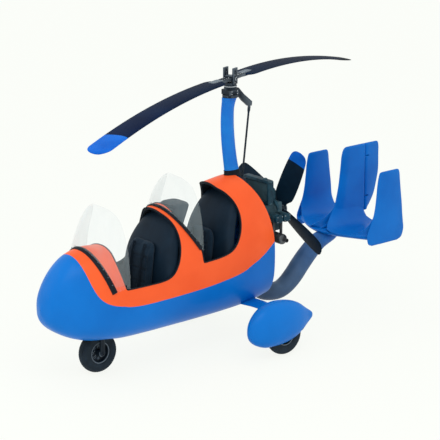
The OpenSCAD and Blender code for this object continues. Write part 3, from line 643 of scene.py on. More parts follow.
for side, glass in (("front", frontGlass), ("rear", rearGlass)):
    sheet, foot = glassSheet(glass)
    addPiece(side + "Windshield", sheet, paintedReflectionSheet, stands=side + "_windshield", sharp=50)
    # the seal is a flat strip whose thin way is square to the pod
    strip = tube(foot, glass["seal"], 16, foot * (0, 1, 1) + (0.12, 0, -0.75), flat=0.34)
    addPiece(side + "WindshieldSeal", strip, sealRubber)
    screws = evenly(foot, 15)[1:-1]
    screws = screws + unit(screws - (foot[:, 0].mean(), 0, 0.8)) * glass["seal"] * 0.55
    addPiece(side + "WindshieldScrews", bolts(screws, (0.5, 0.2, 0.9), 0.005, 0.004), darkMetal)
print("windshields made")

# seats
seats = {
    "front": {"back": [[1.13, 0.535], [1.105, 0.9], [1.075, 1.1], [1.015, 1.24], [0.935, 1.36], [0.86, 1.435],
                       [0.8, 1.49]],
              "depth": 0.185, "top": 1.505, "seat": 1.165},
    "rear": {"back": [[0.39, 0.535], [0.355, 1.0], [0.32, 1.2], [0.245, 1.37], [0.17, 1.47], [0.09, 1.55],
                      [0.02, 1.62]],
             "depth": 0.15, "top": 1.625, "seat": 0.425},
    "spine": 0.2, "spineTop": 0.66, "shoulder": 0.84, "wallGap": 0.0225, "cornerPower": 3.6, "panHalf": 0.205,
    "panLength": 0.36,
    "floor": 0.446, "panTop": 0.534, "beltHalf": 0.022, "beltFlat": 0.07, "beltY": 0.085,
}


def backX(seat, z, rounds=3):
    # how far forward the seat back's front is at a height
    line = roundCorners(seat["back"], rounds)
    return np.interp(z, line[:, 1], line[:, 0])


def seatBack(seat, levels=90, around=72):
    # level rings up the seat back: each is a squarish oval as wide as the pod inside, closing to a dome at the top
    z = seats["floor"] + (seat["top"] - seats["floor"]) * np.sin(np.linspace(0.0, np.pi / 2, levels))
    front, deep = backX(seat, z), seat["depth"] / 2
    room = np.maximum(skinY(front - deep, z) - seats["wallGap"], 0.0)
    near = np.maximum(skinY(front - 0.02, z) - seats["wallGap"], 0.0)
    wide = np.minimum(room, near + 0.015)
    share = eased(np.clip((z - seats["spineTop"]) / (seats["shoulder"] - seats["spineTop"]), 0, 1))
    half = np.maximum(np.minimum(seats["spine"] + share * (wide - seats["spine"]), wide), 0.002)[:, None]
    c, s = powerRing(circle(around), seats["cornerPower"])
    crown = 0.018 * share[:, None] * (1 - s ** 2) * (c > 0)
    x = front[:, None] - deep - 0.01 + deep * c * np.clip(half / 0.05, 0.2, 1) + crown
    return closedLoft(points(x, half * s, z[:, None]))


def seatPan(seat):
    # shallow tray: a rounded block whose upper face dips towards its middle
    start, half = seat["back"][0][0] - 0.06, seats["panHalf"]
    verts, sets = slab((start, -half, seats["floor"]), (start + 0.06 + seats["panLength"], half, seats["panTop"]), 7)
    middle = np.clip(1 - (verts[:, 1] / half) ** 2, 0, 1)
    verts[:, 2] -= 0.01 * middle * (verts[:, 2] > (seats["panTop"] + seats["floor"]) / 2)
    return verts, sets


def coordinates(mesh):
    # points of a mesh as rows of three
    co = np.empty(len(mesh.vertices) * 3)
    mesh.vertices.foreach_get("co", co)
    return co.reshape(-1, 3)


def softPad(name, shape, cap, node, sew):
    # the pad swells under air pressure as cloth, moves no further than its cap, and gets its sewn channels last
    mesh = meshFrom(name, *shape)
    mesh.shade_smooth()
    mesh.materials.append(seatCloth)
    pad = placed(name, mesh)
    bpy.context.view_layer.objects.active = pad
    remesh = pad.modifiers.new("evenMesh", "REMESH")
    remesh.mode, remesh.voxel_size, remesh.use_smooth_shade = "VOXEL", 0.008, True
    graph = bpy.context.evaluated_depsgraph_get()
    pad.data = bpy.data.meshes.new_from_object(pad.evaluated_get(graph))
    pad.modifiers.clear()
    before = coordinates(pad.data)
    cloth = pad.modifiers.new("air", "CLOTH")
    cloth.settings.use_pressure, cloth.settings.uniform_pressure_force = True, 4
    cloth.settings.effector_weights.gravity = 0
    cloth.settings.tension_stiffness = cloth.settings.compression_stiffness = 25
    for step in range(1, 21):
        bpy.context.scene.frame_set(step)
    graph = bpy.context.evaluated_depsgraph_get()
    move = coordinates(pad.evaluated_get(graph).data) - before
    move *= np.minimum(1, cap / np.maximum(np.linalg.norm(move, axis=1, keepdims=True), 1e-9))
    pad.modifiers.clear()
    pad.data.vertices.foreach_set("co", (before + move).ravel())
    bpy.context.scene.frame_set(1)
    pad.data.vertices.foreach_set("co", sew(coordinates(pad.data)).ravel())
    pad.data.update()
    smooth = pad.modifiers.new("softer", "SUBSURF")
    smooth.levels = smooth.render_levels = 1
    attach(pad, "airframe")
    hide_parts(node)


def channels(across, acrossPlaces, along, alongPlaces, width=0.007, depth=0.006):
    # sum of narrow bell shapes centred on the seams; the seams along stop at the outer pair across
    grooves = [depth * sum(np.exp(-((at - p) / width) ** 2) for p in places)
               for at, places in ((across, acrossPlaces), (along, alongPlaces))]
    return grooves[0] + grooves[1] * (np.abs(across) < acrossPlaces[-1])


for side in ("front", "rear"):
    seat = seats[side]
    shape = merged(seatBack(seat), seatPan(seat))
    addPiece(side + "SeatMoulding", shape, seatMoulding, stands=side + "_seat_shell")

    node = side + "_seat_cushion"
    low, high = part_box(node)

    def sewSeat(co):
        top = np.clip((co[:, 2] - low.z - 0.03) / 0.03, 0, 1)
        co[:, 2] -= top * channels(co[:, 1], (-0.135, 0.135), co[:, 0], (low.x + 0.09, low.x + 0.175))
        return co

    shape = slab(low + Vector((0.006, 0.006, 0.003)), high - Vector((0.006, 0.006, 0.014)), 5)
    softPad(side + "SeatCushion", shape, 0.01, node, sewSeat)

    node = side + "_backrest"
    low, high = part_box(node)
    verts, sets = slab((0, low.y + 0.006, low.z + 0.01), (0.052, high.y - 0.006, min(high.z, 1.22) - 0.012), 5, 32, 30)
    verts[:, 0] += backX(seat, verts[:, 2], 0) + 0.008

    def sewBack(co):
        face = np.clip((co[:, 0] - backX(seat, co[:, 2], 0) - 0.025) / 0.02, 0, 1)
        co[:, 0] -= face * channels(co[:, 1], (-0.13, 0.13), co[:, 2], (0.7, 0.82, 0.94, 1.06))
        return co

    softPad(side + "Backrest", (verts, sets), 0.012, node, sewBack)

    belts = []      # shoulder straps lie over the pad, and the lap strap crosses the cushion
    z = np.linspace(0.72, 1.18, 40)
    for y in (-seats["beltY"], seats["beltY"]):
        strap = points(backX(seat, z) + 0.079, y * (0.75 + 0.45 * (z - 0.72)), z)
        belts.append(tube(strap, seats["beltHalf"], 10, (0, 1, 0), flat=seats["beltFlat"]))
    u = np.linspace(-1, 1, 50)
    lap = points(seat["seat"] + 0.155 - 0.06 * u ** 2, 0.185 * u, 0.63 - 0.012 * u ** 4)
    belts.append(tube(lap, seats["beltHalf"], 10, (0, 0, 1), flat=seats["beltFlat"]))
    addPiece(side + "Harness", merged(*belts), webbing)
    buckle = slab((seat["seat"] + 0.125, -0.035, 0.63), (seat["seat"] + 0.185, 0.035, 0.648), 8, 24, 12)
    addPiece(side + "HarnessBuckle", buckle, brightMetal)
print("seats made")

# cockpit
sticks = {"x": (1.565, 0.805), "base": 0.445, "leverX": (1.33, 0.56), "leverY": 0.262}
gaiter = [(0.034, 0.0), (0.036, 0.006), (0.03, 0.01), (0.031, 0.016), (0.025, 0.02), (0.026, 0.026), (0.019, 0.032),
          (0.012, 0.04), (0.01, 0.044)]
grip = [(0.009, 0.285), (0.015, 0.29), (0.0165, 0.3), (0.015, 0.318), (0.017, 0.336), (0.0152, 0.352), (0.0175, 0.366),
        (0.0165, 0.38), (0.009, 0.386)]
knob = [(0.008, 0.148), (0.0155, 0.152), (0.0165, 0.166), (0.0145, 0.18), (0.006, 0.185)]
up = np.array([0, 0, 1.0])
parts = []
for x in sticks["x"]:
    foot = (x, 0, sticks["base"])
    parts += [ringBody(gaiter, foot, up, 32), ringBody([(0.009, 0.04), (0.009, 0.29)], foot, up, 20),
              ringBody(grip, foot, up, 32)]
for x in sticks["leverX"]:
    foot = np.array([x, sticks["leverY"], sticks["base"]])
    parts += [slab(foot - (0.04, 0.012, 0), foot + (0.04, 0.012, 0.04), 8, 24, 12),
              ringBody([(0.007, 0.03), (0.007, 0.15)], foot, up, 16), ringBody(knob, foot, up, 24)]
addPiece("controlSticks", merged(*parts), plastic, stands="control_sticks")
softened("rudder_pedals", "rudderPedals", brightMetal, 0.002)
softened("instrument_panel", "instrumentPanel", plastic, 0.002)
# y, z and radius of each dial, and the panel's face, which leans back as it rises
dials = {"rows": [(0.0, 1.1, 0.052), (-0.125, 1.075, 0.042), (0.125, 1.075, 0.042), (-0.07, 0.975, 0.032),
                  (0.07, 0.975, 0.032)],
         "face": 1.6425, "faceZ": 0.86, "lean": 0.0395, "axis": (-1, 0, 0.04)}
rims, faces, marks = [], [], []
for y, z, radius in dials["rows"]:
    spot = (dials["face"] + (z - dials["faceZ"]) * dials["lean"], y, z)
    rim = [(radius * 0.88, 0.001), (radius * 0.92, 0.007), (radius, 0.007), (radius * 1.04, 0.0)]
    rims.append(ringBody(rim, spot, dials["axis"], 40))
    faces.append(ringBody([(radius * 0.9, 0.0), (radius * 0.9, 0.003)], spot, dials["axis"], 40))
    reach = np.linspace(radius * 0.66, radius * 0.82, 4)
    for a in np.radians(np.arange(-135, 136, 30)):
        marks.append(tube(points(spot[0] - 0.0036, y + reach * math.sin(a), z + reach * math.cos(a)), 0.0011, 4,
                          (1, 0, 0)))
    reach = np.linspace(-0.2, 0.7, 6) * radius
    needle = points(spot[0] - 0.0045, y + reach * 0.45, z + reach * 0.8)
    marks.append(tube(needle, np.linspace(0.0018, 0.0006, 6), 6, (1, 0, 0)))
addPiece("dialRims", merged(*rims), brightMetal)
addPiece("dialFaces", merged(*faces), dialFace)
addPiece("dialMarks", merged(*marks), whiteInk)
print("cockpit made")

# mast and rotor head
mast = {"chord": 0.165, "width": 0.084, "top": 2.44,
        "rows": [[0.445, -0.055, 1.0, 1.0], [1.3, -0.052, 1.0, 1.0], [1.5, -0.045, 1.02, 1.0], [1.64, -0.03, 1.1, 1.0],
                 [1.8, 0.0, 1.0, 1.0], [2.0, 0.027, 0.97, 0.95], [2.18, 0.038, 0.95, 0.92], [2.32, 0.034, 0.93, 0.92],
                 [2.395, 0.02, 1.0, 1.0], [2.4395, 0.006, 1.12, 1.25]]}


def mastRing(z, grow=0.0):
    # level ovals up the mast, each a little wider all round where the boot grips it
    rows = splineRows(mast["rows"], 300)
    centre, chord, width = (np.interp(z, rows[:, 0], rows[:, k])[:, None] for k in (1, 2, 3))
    grow, turn = np.reshape(grow, (-1, 1)), circle(48)
    return closedLoft(points(centre + (mast["chord"] * chord / 2 + grow) * np.cos(turn),
                             (mast["width"] * width / 2 + grow) * np.sin(turn), z[:, None]))


z = np.concatenate([np.linspace(0.445, 1.6, 30), np.linspace(1.61, 2.4395, 90)])
addPiece("mastFairing", mastRing(z), mastPaint, stands="mast")
z = np.linspace(1.64, 1.712, 22)
lip = 0.004 + 0.016 * np.clip(1 - (z - 1.64) / 0.06, 0, 1) ** 2 + 0.0025 * np.sin((z - 1.64) * 480)
addPiece("mastBoot", mastRing(z, lip), sealRubber)
softened("rotor_head", "rotorHeadBlock", darkMetal, 0.004)
softened("teeter_tower", "teeterTower", darkMetal)
softened("rotor_hub_bar", "rotorHubBar", darkMetal, 0.004)

park = math.radians(20)
blade = {"z": mast["top"] + 0.185, "along": np.array([math.cos(park), math.sin(park), 0]),
         "across": np.array([-math.sin(park), math.cos(park), 0])}
head = {"topBolts": 0.062, "topZ": mast["top"] + 0.026, "sideY": 0.0625, "bearingZ": mast["top"] + 0.102,
        "cheek": 0.0605}
spots = [np.array([head["topBolts"] * math.cos(a), head["topBolts"] * math.sin(a), head["topZ"]])
         for a in np.radians((35, 145, 215, 325))]
sides = [np.array([x, -head["sideY"], mast["top"] + z]) for x in (-0.035, 0.035) for z in (0.038, 0.064)]
bearing = [(0.06, 0), (0.066, 0.004), (0.066, 0.012), (0.06, 0.016)]
addPiece("headFixings", merged(bolts(spots, up, 0.008, 0.007), bolts(sides, (0, -1, 0), 0.007, 0.006),
                               bolts([p * (1, -1, 1) for p in sides], (0, 1, 0), 0.007, 0.006),
                               ringBody(bearing, (0, 0, head["bearingZ"]), up, 48)), brightMetal)
tower = []
for s in (-1, 1):
    out = blade["across"] * s
    plates = [blade["along"] * x + out * head["cheek"] + up * (mast["top"] + z)
              for x in (-0.022, 0.022) for z in (0.15, 0.225)]
    cap = [(0.012, 0.0), (0.019, 0.001), (0.019, 0.006), (0.014, 0.01)]
    tower += [bolts(plates, out, 0.006, 0.005),
              ringBody(cap, out * (head["cheek"] - 0.0005) + up * blade["z"], out, 32)]
addPiece("towerFixings", merged(*tower), brightMetal, "rotor_hub")
bar = [blade["along"] * r * s + blade["across"] * y + up * (blade["z"] + 0.013)
       for r in (0.075, 0.115, 0.155, 0.195, 0.22) for y in (-0.024, 0.024) for s in (-1, 1)]
under = [p - up * 0.026 for p in bar]
addPiece("hubBarFixings", merged(bolts(bar, up, 0.007, 0.007), bolts(under, -up, 0.007, 0.007)), brightMetal, "rotor")
rod = {"top": np.array([-0.243, 0, 2.3154]), "foot": np.array([-0.152, 0, 1.575])}
length = np.linalg.norm(rod["foot"] - rod["top"])
profile = [(0.006, 0.0), (0.014, 0.002), (0.015, 0.012), (0.0145, 0.045), (0.011, 0.058), (0.0098, 0.075)]
profile += [(radius, length - reach) for radius, reach in profile[::-1]]
bracket = slab(rod["foot"] + (-0.022, -0.02, -0.025), rod["foot"] + (0.058, 0.02, -0.003), 9, 28, 12)
addPiece("controlRod", merged(ringBody(profile, rod["top"], rod["foot"] - rod["top"], 28), bracket), darkMetal,
         stands="control_rod")
print("mast and head made")


# blades
def sectionRing(chord, thick, around=40):
    # blade section: cosine along the chord, sine through the thickness, fuller towards the leading edge
    turn = circle(around)
    return chord[:, None] * 0.5 * np.cos(turn), thick[:, None] * 0.5 * np.sin(turn) * (1 + 0.3 * np.cos(turn))


def roundEnd(share, least=0.0):
    # quarter circle: nothing, or the least, at 0 and full at 1
    return np.sqrt(np.maximum(least, 1 - (1 - share) ** 2))


rotor = {"radius": 2.4, "root": 0.2305, "heel": 0.1, "chord": 0.25, "thick": 0.032, "rise": 0.03, "droop": 0.26,
         "gripR": 0.285, "gripHalf": (0.085, 0.04), "gripLift": 0.0132, "gripThick": 0.005}


def rotorBlade(a, c, tipRound, steps=120):
    # u runs from root to tip, closer near the tip; the blade rises by u and droops by u squared
    u = 1 - (1 - np.linspace(0, 1, steps)) ** 1.6
    r = rotor["root"] + (rotor["radius"] - rotor["root"]) * u
    tip = roundEnd(np.minimum(1, (rotor["radius"] - r) / tipRound), 0.0004)
    heel = 0.45 + 0.55 * roundEnd(np.clip((r - rotor["root"]) / rotor["heel"], 0, 1))
    chord = rotor["chord"] * (0.92 + 0.08 * u) * tip * heel
    chordwise, through = sectionRing(chord, rotor["thick"] * np.minimum(1, tip * 1.6 + 0.1))
    height = blade["z"] + rotor["rise"] * u - rotor["droop"] * u * u
    shape = closedLoft(r[:, None, None] * a + (height[:, None] + through)[..., None] * up + chordwise[..., None] * c)
    return shape, shape[0] @ a / rotor["radius"]


for name, node, s, tip, skin in (("blueTipBlade", "blue_tip_rotor_blade", 1, 0.125, bladeSkin),
                                 ("plainBlade", "plain_rotor_blade", -1, 0.014, plainBladeSkin)):
    a, c = blade["along"] * s, blade["across"] * s
    shape, marks = rotorBlade(a, c, tip)
    addPiece(name, shape, skin, "rotor", node, 50, marks)
    grips = []
    for face in (-1, 1):      # doubler plates over and under the root, stepped in thickness
        middle, step = a * rotor["gripR"] + up * (blade["z"] + rotor["gripLift"] * face), up * rotor["gripThick"] * face
        px, py = powerRing(circle(40), 5)
        ring = middle + (px * rotor["gripHalf"][0])[:, None] * a + (py * rotor["gripHalf"][1])[:, None] * c
        spots = [middle + a * x + c * y + step for x in (-0.06, -0.02, 0.02, 0.06) for y in (-0.022, 0.022)]
        grips += [closedLoft(np.stack([ring, ring + step])), bolts(spots, up * face, 0.006, 0.005)]
    addPiece(name + "Grip", merged(*grips), darkMetal, "rotor")
print("rotor made")

# engine and propeller
prop = {"z": 1.2, "back": 0.652, "radius": 0.7, "chord": 0.215, "tipMark": 0.8, "hub": 0.06, "park": 64, "blades": 4,
        # share of the blade, chord as a share of the widest, pitch in degrees, thickness
        "rows": [[0.0, 0.44, 32, 0.04], [0.06, 0.62, 30, 0.034], [0.15, 0.92, 28, 0.028], [0.35, 1.0, 24, 0.022],
                 [0.6, 1.0, 19, 0.017], [0.8, 0.94, 16, 0.013], [0.9, 0.86, 15, 0.011], [0.955, 0.7, 14, 0.009],
                 [0.985, 0.46, 14, 0.007], [1.0, 0.06, 14, 0.004]]}


def propBlade(index):
    # sections along the blade, closed at both ends, with each point's share of the radius as its mark
    rows = splineRows(prop["rows"], 110, (1, 1, 0.01, 1))
    r = prop["hub"] + (prop["radius"] - prop["hub"]) * np.clip(rows[:, 0], 0, 1)
    chordwise, through = sectionRing(prop["chord"] * np.maximum(rows[:, 1], 0.02), rows[:, 3], 36)
    pitch, angle = np.radians(rows[:, 2] - 90)[:, None], math.radians(prop["park"] + 360 / prop["blades"] * index)
    # turned by the pitch about the blade's length, then stood up at the blade's angle
    x = chordwise * np.cos(pitch) - through * np.sin(pitch)
    y = chordwise * np.sin(pitch) + through * np.cos(pitch)
    out = r[:, None]
    turned = points(x, out * math.cos(angle) + y * math.sin(angle), out * math.sin(angle) - y * math.cos(angle))
    verts, sets = closedLoft(turned + hubCentre)
    reach = np.hypot(verts[:, 1], verts[:, 2] - prop["z"]) / prop["radius"]
    # only the first tip is painted
    return (verts, sets), reach if index == 0 else np.minimum(reach, prop["tipMark"])


hubCentre = np.array([-prop["back"], 0, prop["z"]])
shapes, reaches = zip(*[propBlade(k) for k in range(prop["blades"])])
addPiece("propellerBlades", merged(*shapes), propSkin, "propeller", "propeller_blades", 50, np.concatenate(reaches))
cuff = [(0.04, -0.002), (0.04, 0.022), (0.036, 0.034), (0.036, 0.058), (0.032, 0.066)]
cuffs = [ringBody(cuff, hubCentre, (0, math.cos(a), math.sin(a)), 36)
         for a in np.radians(prop["park"] + 90 * np.arange(4))]
disc = [(0.03, -0.044), (0.066, -0.044), (0.072, -0.04), (0.072, -0.026), (0.066, -0.022), (0.066, 0.022),
        (0.072, 0.026), (0.072, 0.038), (0.066, 0.042), (0.03, 0.042)]
nose = [(0.002, -0.074), (0.018, -0.073), (0.032, -0.068), (0.042, -0.058), (0.044, -0.044), (0.044, -0.04)]
spots = [hubCentre + (-0.044, 0.056 * math.cos(a), 0.056 * math.sin(a)) for a in np.radians(np.arange(0, 360, 45) + 19)]
addPiece("propellerHub", merged(ringBody(disc, hubCentre, (1, 0, 0), 64), ringBody(nose, hubCentre, (1, 0, 0), 48),
                                *cuffs),
         darkMetal, "propeller", "propeller_hub")
addPiece("propellerBolts", bolts(spots, (-1, 0, 0), 0.0065, 0.007), brightMetal, "propeller")

engine = {"cylinderX": (-0.4, -0.5), "z": prop["z"] - 0.01, "barrelY": 0.1503, "barrel": 0.038, "fin": 0.0475,
          "fins": 9,
          "finStep": 0.011, "pipeY": 0.195, "pipeZ": prop["z"] - 0.0585, "muffler": (-0.45, 0.975)}
softened("engine_block", "crankcase", castMetal, 0.012)
softened("gearbox", "reductionGearbox", brightMetal)
softened("engine_mount", "engineMount", darkMetal)
ribs = [(engine["barrel"], 0.0)]      # cooling fins as a saw of radii along the barrel
for k in range(engine["fins"]):
    start = engine["finStep"] * k
    ribs += [(engine["barrel"], 0.006 + start), (engine["fin"], 0.008 + start),
             (engine["fin"], 0.0105 + start), (engine["barrel"], 0.0125 + start)]
ribs += [(engine["barrel"], 0.108)]
muffler = [(0.02, -0.262), (0.04, -0.259), (0.05, -0.25), (0.0535, -0.236), (0.0535, -0.1), (0.0545, -0.097),
           (0.0545, -0.083), (0.0535, -0.08), (0.0535, 0.11), (0.0545, 0.113), (0.0545, 0.127), (0.0535, 0.13),
           (0.0535, 0.27), (0.05, 0.284), (0.04, 0.293), (0.021, 0.297), (0.0205, 0.3), (0.0205, 0.343),
           (0.0175, 0.3445), (0.017, 0.31), (0.002, 0.309)]
collar = [(0.015, 0.0), (0.024, 0.001), (0.024, 0.008), (0.015, 0.009)]
mx, mz = engine["muffler"]
barrels, covers, pipes = [], [], [ringBody(muffler, (mx, 0, mz), (0, 1, 0), 56)]
for s in (-1, 1):
    for x in engine["cylinderX"]:
        barrels.append(ringBody(ribs, (x, s * engine["barrelY"], engine["z"]), (0, s, 0), 40))
        cover = slab((x - 0.044, 0.2585, engine["z"] - 0.04), (x + 0.044, 0.2923, engine["z"] + 0.04), 5, 32, 18)
        covers.append(cover if s > 0 else mirrored(cover))
        line = points(x, s * engine["pipeY"], np.linspace(engine["pipeZ"], mz + 0.02, 24))
        pipes.append(tube(line, 0.0148, 16, (1, 0, 0)))
        pipes.append(ringBody(collar, (x, s * engine["pipeY"], engine["pipeZ"] - 0.01), up, 28))
addPiece("engineCylinders", merged(*barrels, *covers), castMetal, stands="engine_cylinders")
caps = np.array([(x + dx, 0.2915, engine["z"] + dz)
                 for x in engine["cylinderX"] for dx in (-0.03, 0.03) for dz in (-0.025, 0.025)])
rockers = merged(bolts(caps, (0, 1, 0), 0.005, 0.005), bolts(caps * (1, -1, 1), (0, -1, 0), 0.005, 0.005))
addPiece("rockerBolts", rockers, brightMetal)
addPiece("exhaustSystem", merged(*pipes), pipeMetal, stands="exhaust")
low, high = np.array([-0.405, -0.19, 1.3205]), np.array([-0.335, 0.19, 1.57])
inset, rise, reach = np.array([0.02, 0.02, 0.02]), (0, 0, 0.215), (0, 0.35, 0)
frames = [slab(low, high - rise, 9, 32, 14), slab(low + rise, high, 9, 32, 14), slab(low, high - reach, 9, 24, 14),
          slab(low + reach, high, 9, 24, 14), slab(low + inset, high - inset, 12, 24, 12),
          ringBody([(0.006, 0), (0.022, 0.001), (0.022, 0.01), (0.018, 0.012)], (-0.37, 0.1, 1.5695), up, 32)]
# upright cooling fins, a few faces each
frames += [slab((-0.4, y - 0.0012, 1.345), (-0.34, y + 0.0012, 1.545), 14, 8, 4)
           for y in np.linspace(-0.165, 0.165, 34)]
addPiece("radiatorCore", merged(*frames), castMetal, stands="radiator")
u = np.linspace(0, 1.5, 20)
hoses = [tube(points(-0.455, s * (0.05 + 0.16 * np.sin(u)), 1.335 + 0.055 * np.cos(u) - 0.06 * u), 0.017, 16, (1, 0, 0))
         for s in (-1, 1)]
addPiece("airBox", merged(slab((-0.5, -0.13, 1.3205), (-0.407, 0.13, 1.4705), 5, 40, 24), *hoses), castMetal)
rivets = [(-0.408, y, z) for y in np.linspace(-0.16, 0.16, 9) for z in (1.333, 1.557)]
addPiece("radiatorRivets", bolts(rivets, (-1, 0, 0), 0.004, 0.003), brightMetal)
print("engine and propeller made")

# tail
boom = {"stabZ": 0.845,
        # x, z, radius, lean of the slice from upright
        "rows": [[-0.285, 0.452, 0.07, 0], [-0.36, 0.405, 0.08, -25], [-0.45, 0.362, 0.086, -17],
                 [-0.56, 0.34, 0.09, -4], [-0.66, 0.343, 0.092, 12], [-0.745, 0.378, 0.095, 28],
                 [-0.84, 0.45, 0.098, 41], [-0.94, 0.553, 0.098, 45], [-1.05, 0.655, 0.096, 37],
                 [-1.19, 0.755, 0.09, 20], [-1.4, 0.8, 0.056, 8], [-1.47, 0.812, 0.022, 8]]}
rows = splineRows(boom["rows"], 150, (1, 1, 1, 0.002))
turn = circle(48)
lean = np.radians(rows[:, 3])[:, None]
x, z, radius = rows[:, 0, None], rows[:, 1, None], rows[:, 2, None]
# a circle in each leaning slice: its up direction tips forward by the lean, and it stops short of the stabiliser
height = np.minimum(z + radius * np.sin(turn) * np.cos(lean), boom["stabZ"] - 0.0002)
shape = closedLoft(points(x + radius * np.sin(turn) * np.sin(lean), radius * np.cos(turn), height))
marks = np.concatenate([np.repeat(np.linspace(0, 1, len(rows)), len(turn)), [0, 1]])
addPiece("tailBoom", shape, boomPaint, stands="tail_boom", sharp=60, marks=marks)

tail = {"finY": 0.51, "thick": 0.044, "stabZ": 0.845, "bend": 0.225, "keel": 4.0, "outerRear": -1.864,
        "centreRear": ([0.86, 0.925], [-1.862, -1.806]),      # heights, and the rear edge of the middle bends there
        # z, leading edge, trailing edge
        "outer": [[0.772, -1.44, -1.8], [0.8, -1.388, -1.86], [0.88, -1.372, -1.888], [0.96, -1.402, -1.88],
                  [1.05, -1.446, -1.868], [1.16, -1.474, -1.857], [1.28, -1.49, -1.84], [1.4, -1.502, -1.824],
                  [1.49, -1.52, -1.812], [1.52, -1.533, -1.798], [1.53, -1.56, -1.77]],
        "centre": [[0.8895, -1.232, -1.822], [0.94, -1.33, -1.822], [1.06, -1.4, -1.822], [1.25, -1.455, -1.822],
                   [1.45, -1.485, -1.822], [1.62, -1.506, -1.822], [1.672, -1.53, -1.822], [1.69, -1.56, -1.822]],
        # y, leading edge, trailing edge
        "stab": [[-0.512, -1.4, -1.86], [-0.34, -1.3, -1.862], [-0.18, -1.222, -1.866], [0.0, -1.18, -1.87],
                 [0.18, -1.222, -1.866], [0.34, -1.3, -1.862], [0.512, -1.4, -1.86]]}


def panelRing(front, rear, thick, around=56, blunt=False):
    # streamlined section: full at the front third, thin at the rear edge; a blunt one keeps its full thickness at the
    # rear
    turn = circle(around)
    share = (1 - np.cos(turn)) / 2
    if blunt:
        profile = np.minimum(1, 1.9 * share ** 0.5) * np.minimum(1, ((1 - share) / 0.02) ** 0.5)
    else:
        edge = np.sqrt(np.clip(share * (1 - share) * 4, 0, 1)) * share
        profile = (2.6 * np.sqrt(share) * (1 - share ** 1.6) ** 0.75 + 0.1 * edge) * 0.53
    return front[:, None] + (rear - front)[:, None] * share, thick[:, None] / 2 * profile * sideOf(turn)


def sideOf(turn):
    # one for the first half of the turn, minus one for the second
    return np.sign(np.sin(turn) + 1e-12)


def upright(rows, y, thick, blunt=False, foot=False, steps=120, rounding=0.02):
    # fin: sections stacked up its height, thinning to a rounded top and, where asked, a rounded foot
    table = splineRows(rows, steps)
    z = table[:, 0]
    thick = thick * roundEnd(np.clip((z[-1] - z) / rounding, 0, 1), 0.003)
    if foot:
        thick = thick * roundEnd(np.clip((z - z[0]) / rounding, 0, 1), 0.003)
    x, across = panelRing(table[:, 1], table[:, 2], thick, blunt=blunt)
    return closedLoft(points(x, y + across, z[:, None]))


def bentPanel(fin, finY, side, rearEdge, steps=60):
    # quarter bend from the stabiliser up into a fin: the same section carried round an arc, its underside filled to the
    # corner
    bend, middle = tail["bend"], tail["stabZ"] + tail["thick"] / 2
    arc = np.linspace(0, np.pi / 2, steps)
    y, z = finY - side * bend * (1 - np.sin(arc)), middle + bend * (1 - np.cos(arc))
    share = eased(arc / (np.pi / 2))
    stab, upper = splineRows(tail["stab"], 200), splineRows(fin, 200)
    front = (1 - share) * np.interp(y, stab[:, 0], stab[:, 1]) + share * np.interp(z, upper[:, 0], upper[:, 1])
    rear = rearEdge(z)
    x, through = panelRing(front, rear, np.full(steps, tail["thick"]))
    run = (x - front[:, None]) / (rear - front)[:, None]
    fill = np.clip(np.minimum(run, 1 - run) / 0.12, 0, 1) * 0.96 * (through < 0)
    across = y[:, None] - side * np.sin(arc)[:, None] * through
    height = z[:, None] + np.cos(arc)[:, None] * through
    return closedLoft(points(x, across + fill * (finY - across), height + fill * (middle - height)))


y, lead, trail = (column[:, None] for column in splineRows(tail["stab"], 90).T)
x, through = panelRing(lead[:, 0], trail[:, 0], np.full(len(y), tail["thick"]))
# the underside is a keel, deepest in front
deeper = 1 + tail["keel"] * np.clip((trail - x) / (trail - lead), 0, 1) ** 1.5
through = np.where(through < 0, through * deeper, through)
shape = closedLoft(points(x, y, tail["stabZ"] + tail["thick"] / 2 + through))
addPiece("stabiliserPanel", shape, tailPaint, stands="stabiliser", sharp=50)
finY = tail["finY"] + tail["thick"] / 2
for side, s in (("port", 1), ("starboard", -1)):
    fin = upright(tail["outer"], s * finY, tail["thick"], foot=True)
    bend = bentPanel(tail["outer"], s * finY, s, lambda z: np.full(len(z), tail["outerRear"]))
    addPiece(side + "Fin", merged(fin, bend), tailPaint, stands=side + "_fin", sharp=50)
fin = upright(tail["centre"], 0.0, tail["thick"], blunt=True)
bends = [bentPanel(tail["centre"], 0.0, s, lambda z: np.interp(z, *tail["centreRear"])) for s in (-1, 1)]
addPiece("centreFin", merged(fin, *bends), tailPaint, stands="centre_fin", sharp=50)

hinges = {"x": -1.85, "z": (1.13, 1.56), "finX": -1.815, "gapHalf": 0.0065}
pin = [(0.005, -0.008), (0.005, 0.024), (0.0085, 0.0242), (0.0085, 0.0275), (0.005, 0.029)]
fittings = []
for z in hinges["z"]:
    lug = slab((hinges["x"] - 0.012, -0.01, z - 0.005), (hinges["finX"], 0.01, z + 0.005), 8, 28, 8)
    fittings += [lug, ringBody(pin, (hinges["x"], 0, z), up, 20)]
addPiece("rudderHinges", merged(*fittings), tailPaint)
rudder = {"rows": [[0.969, -1.828, -1.852], [0.98, -1.828, -1.868], [1.12, -1.828, -1.965], [1.25, -1.828, -2.004],
                   [1.37, -1.828, -2.029], [1.54, -1.828, -2.03], [1.65, -1.828, -2.026], [1.682, -1.828, -2.012],
                   [1.69, -1.828, -1.99]],
          "nose": 0.022, "edge": 0.0015, "behindX": -1.873, "behindHalf": 0.0205}
rows = splineRows(rudder["rows"], 160)
stops = [rudder["rows"][0][0]] + [z + s * hinges["gapHalf"] for z in hinges["z"]
                                  for s in (-1, 1)] + [rudder["rows"][-1][0]]
nose, turn, parts = rudder["nose"], circle(48), []
share = (1 - np.cos(turn)) / 2
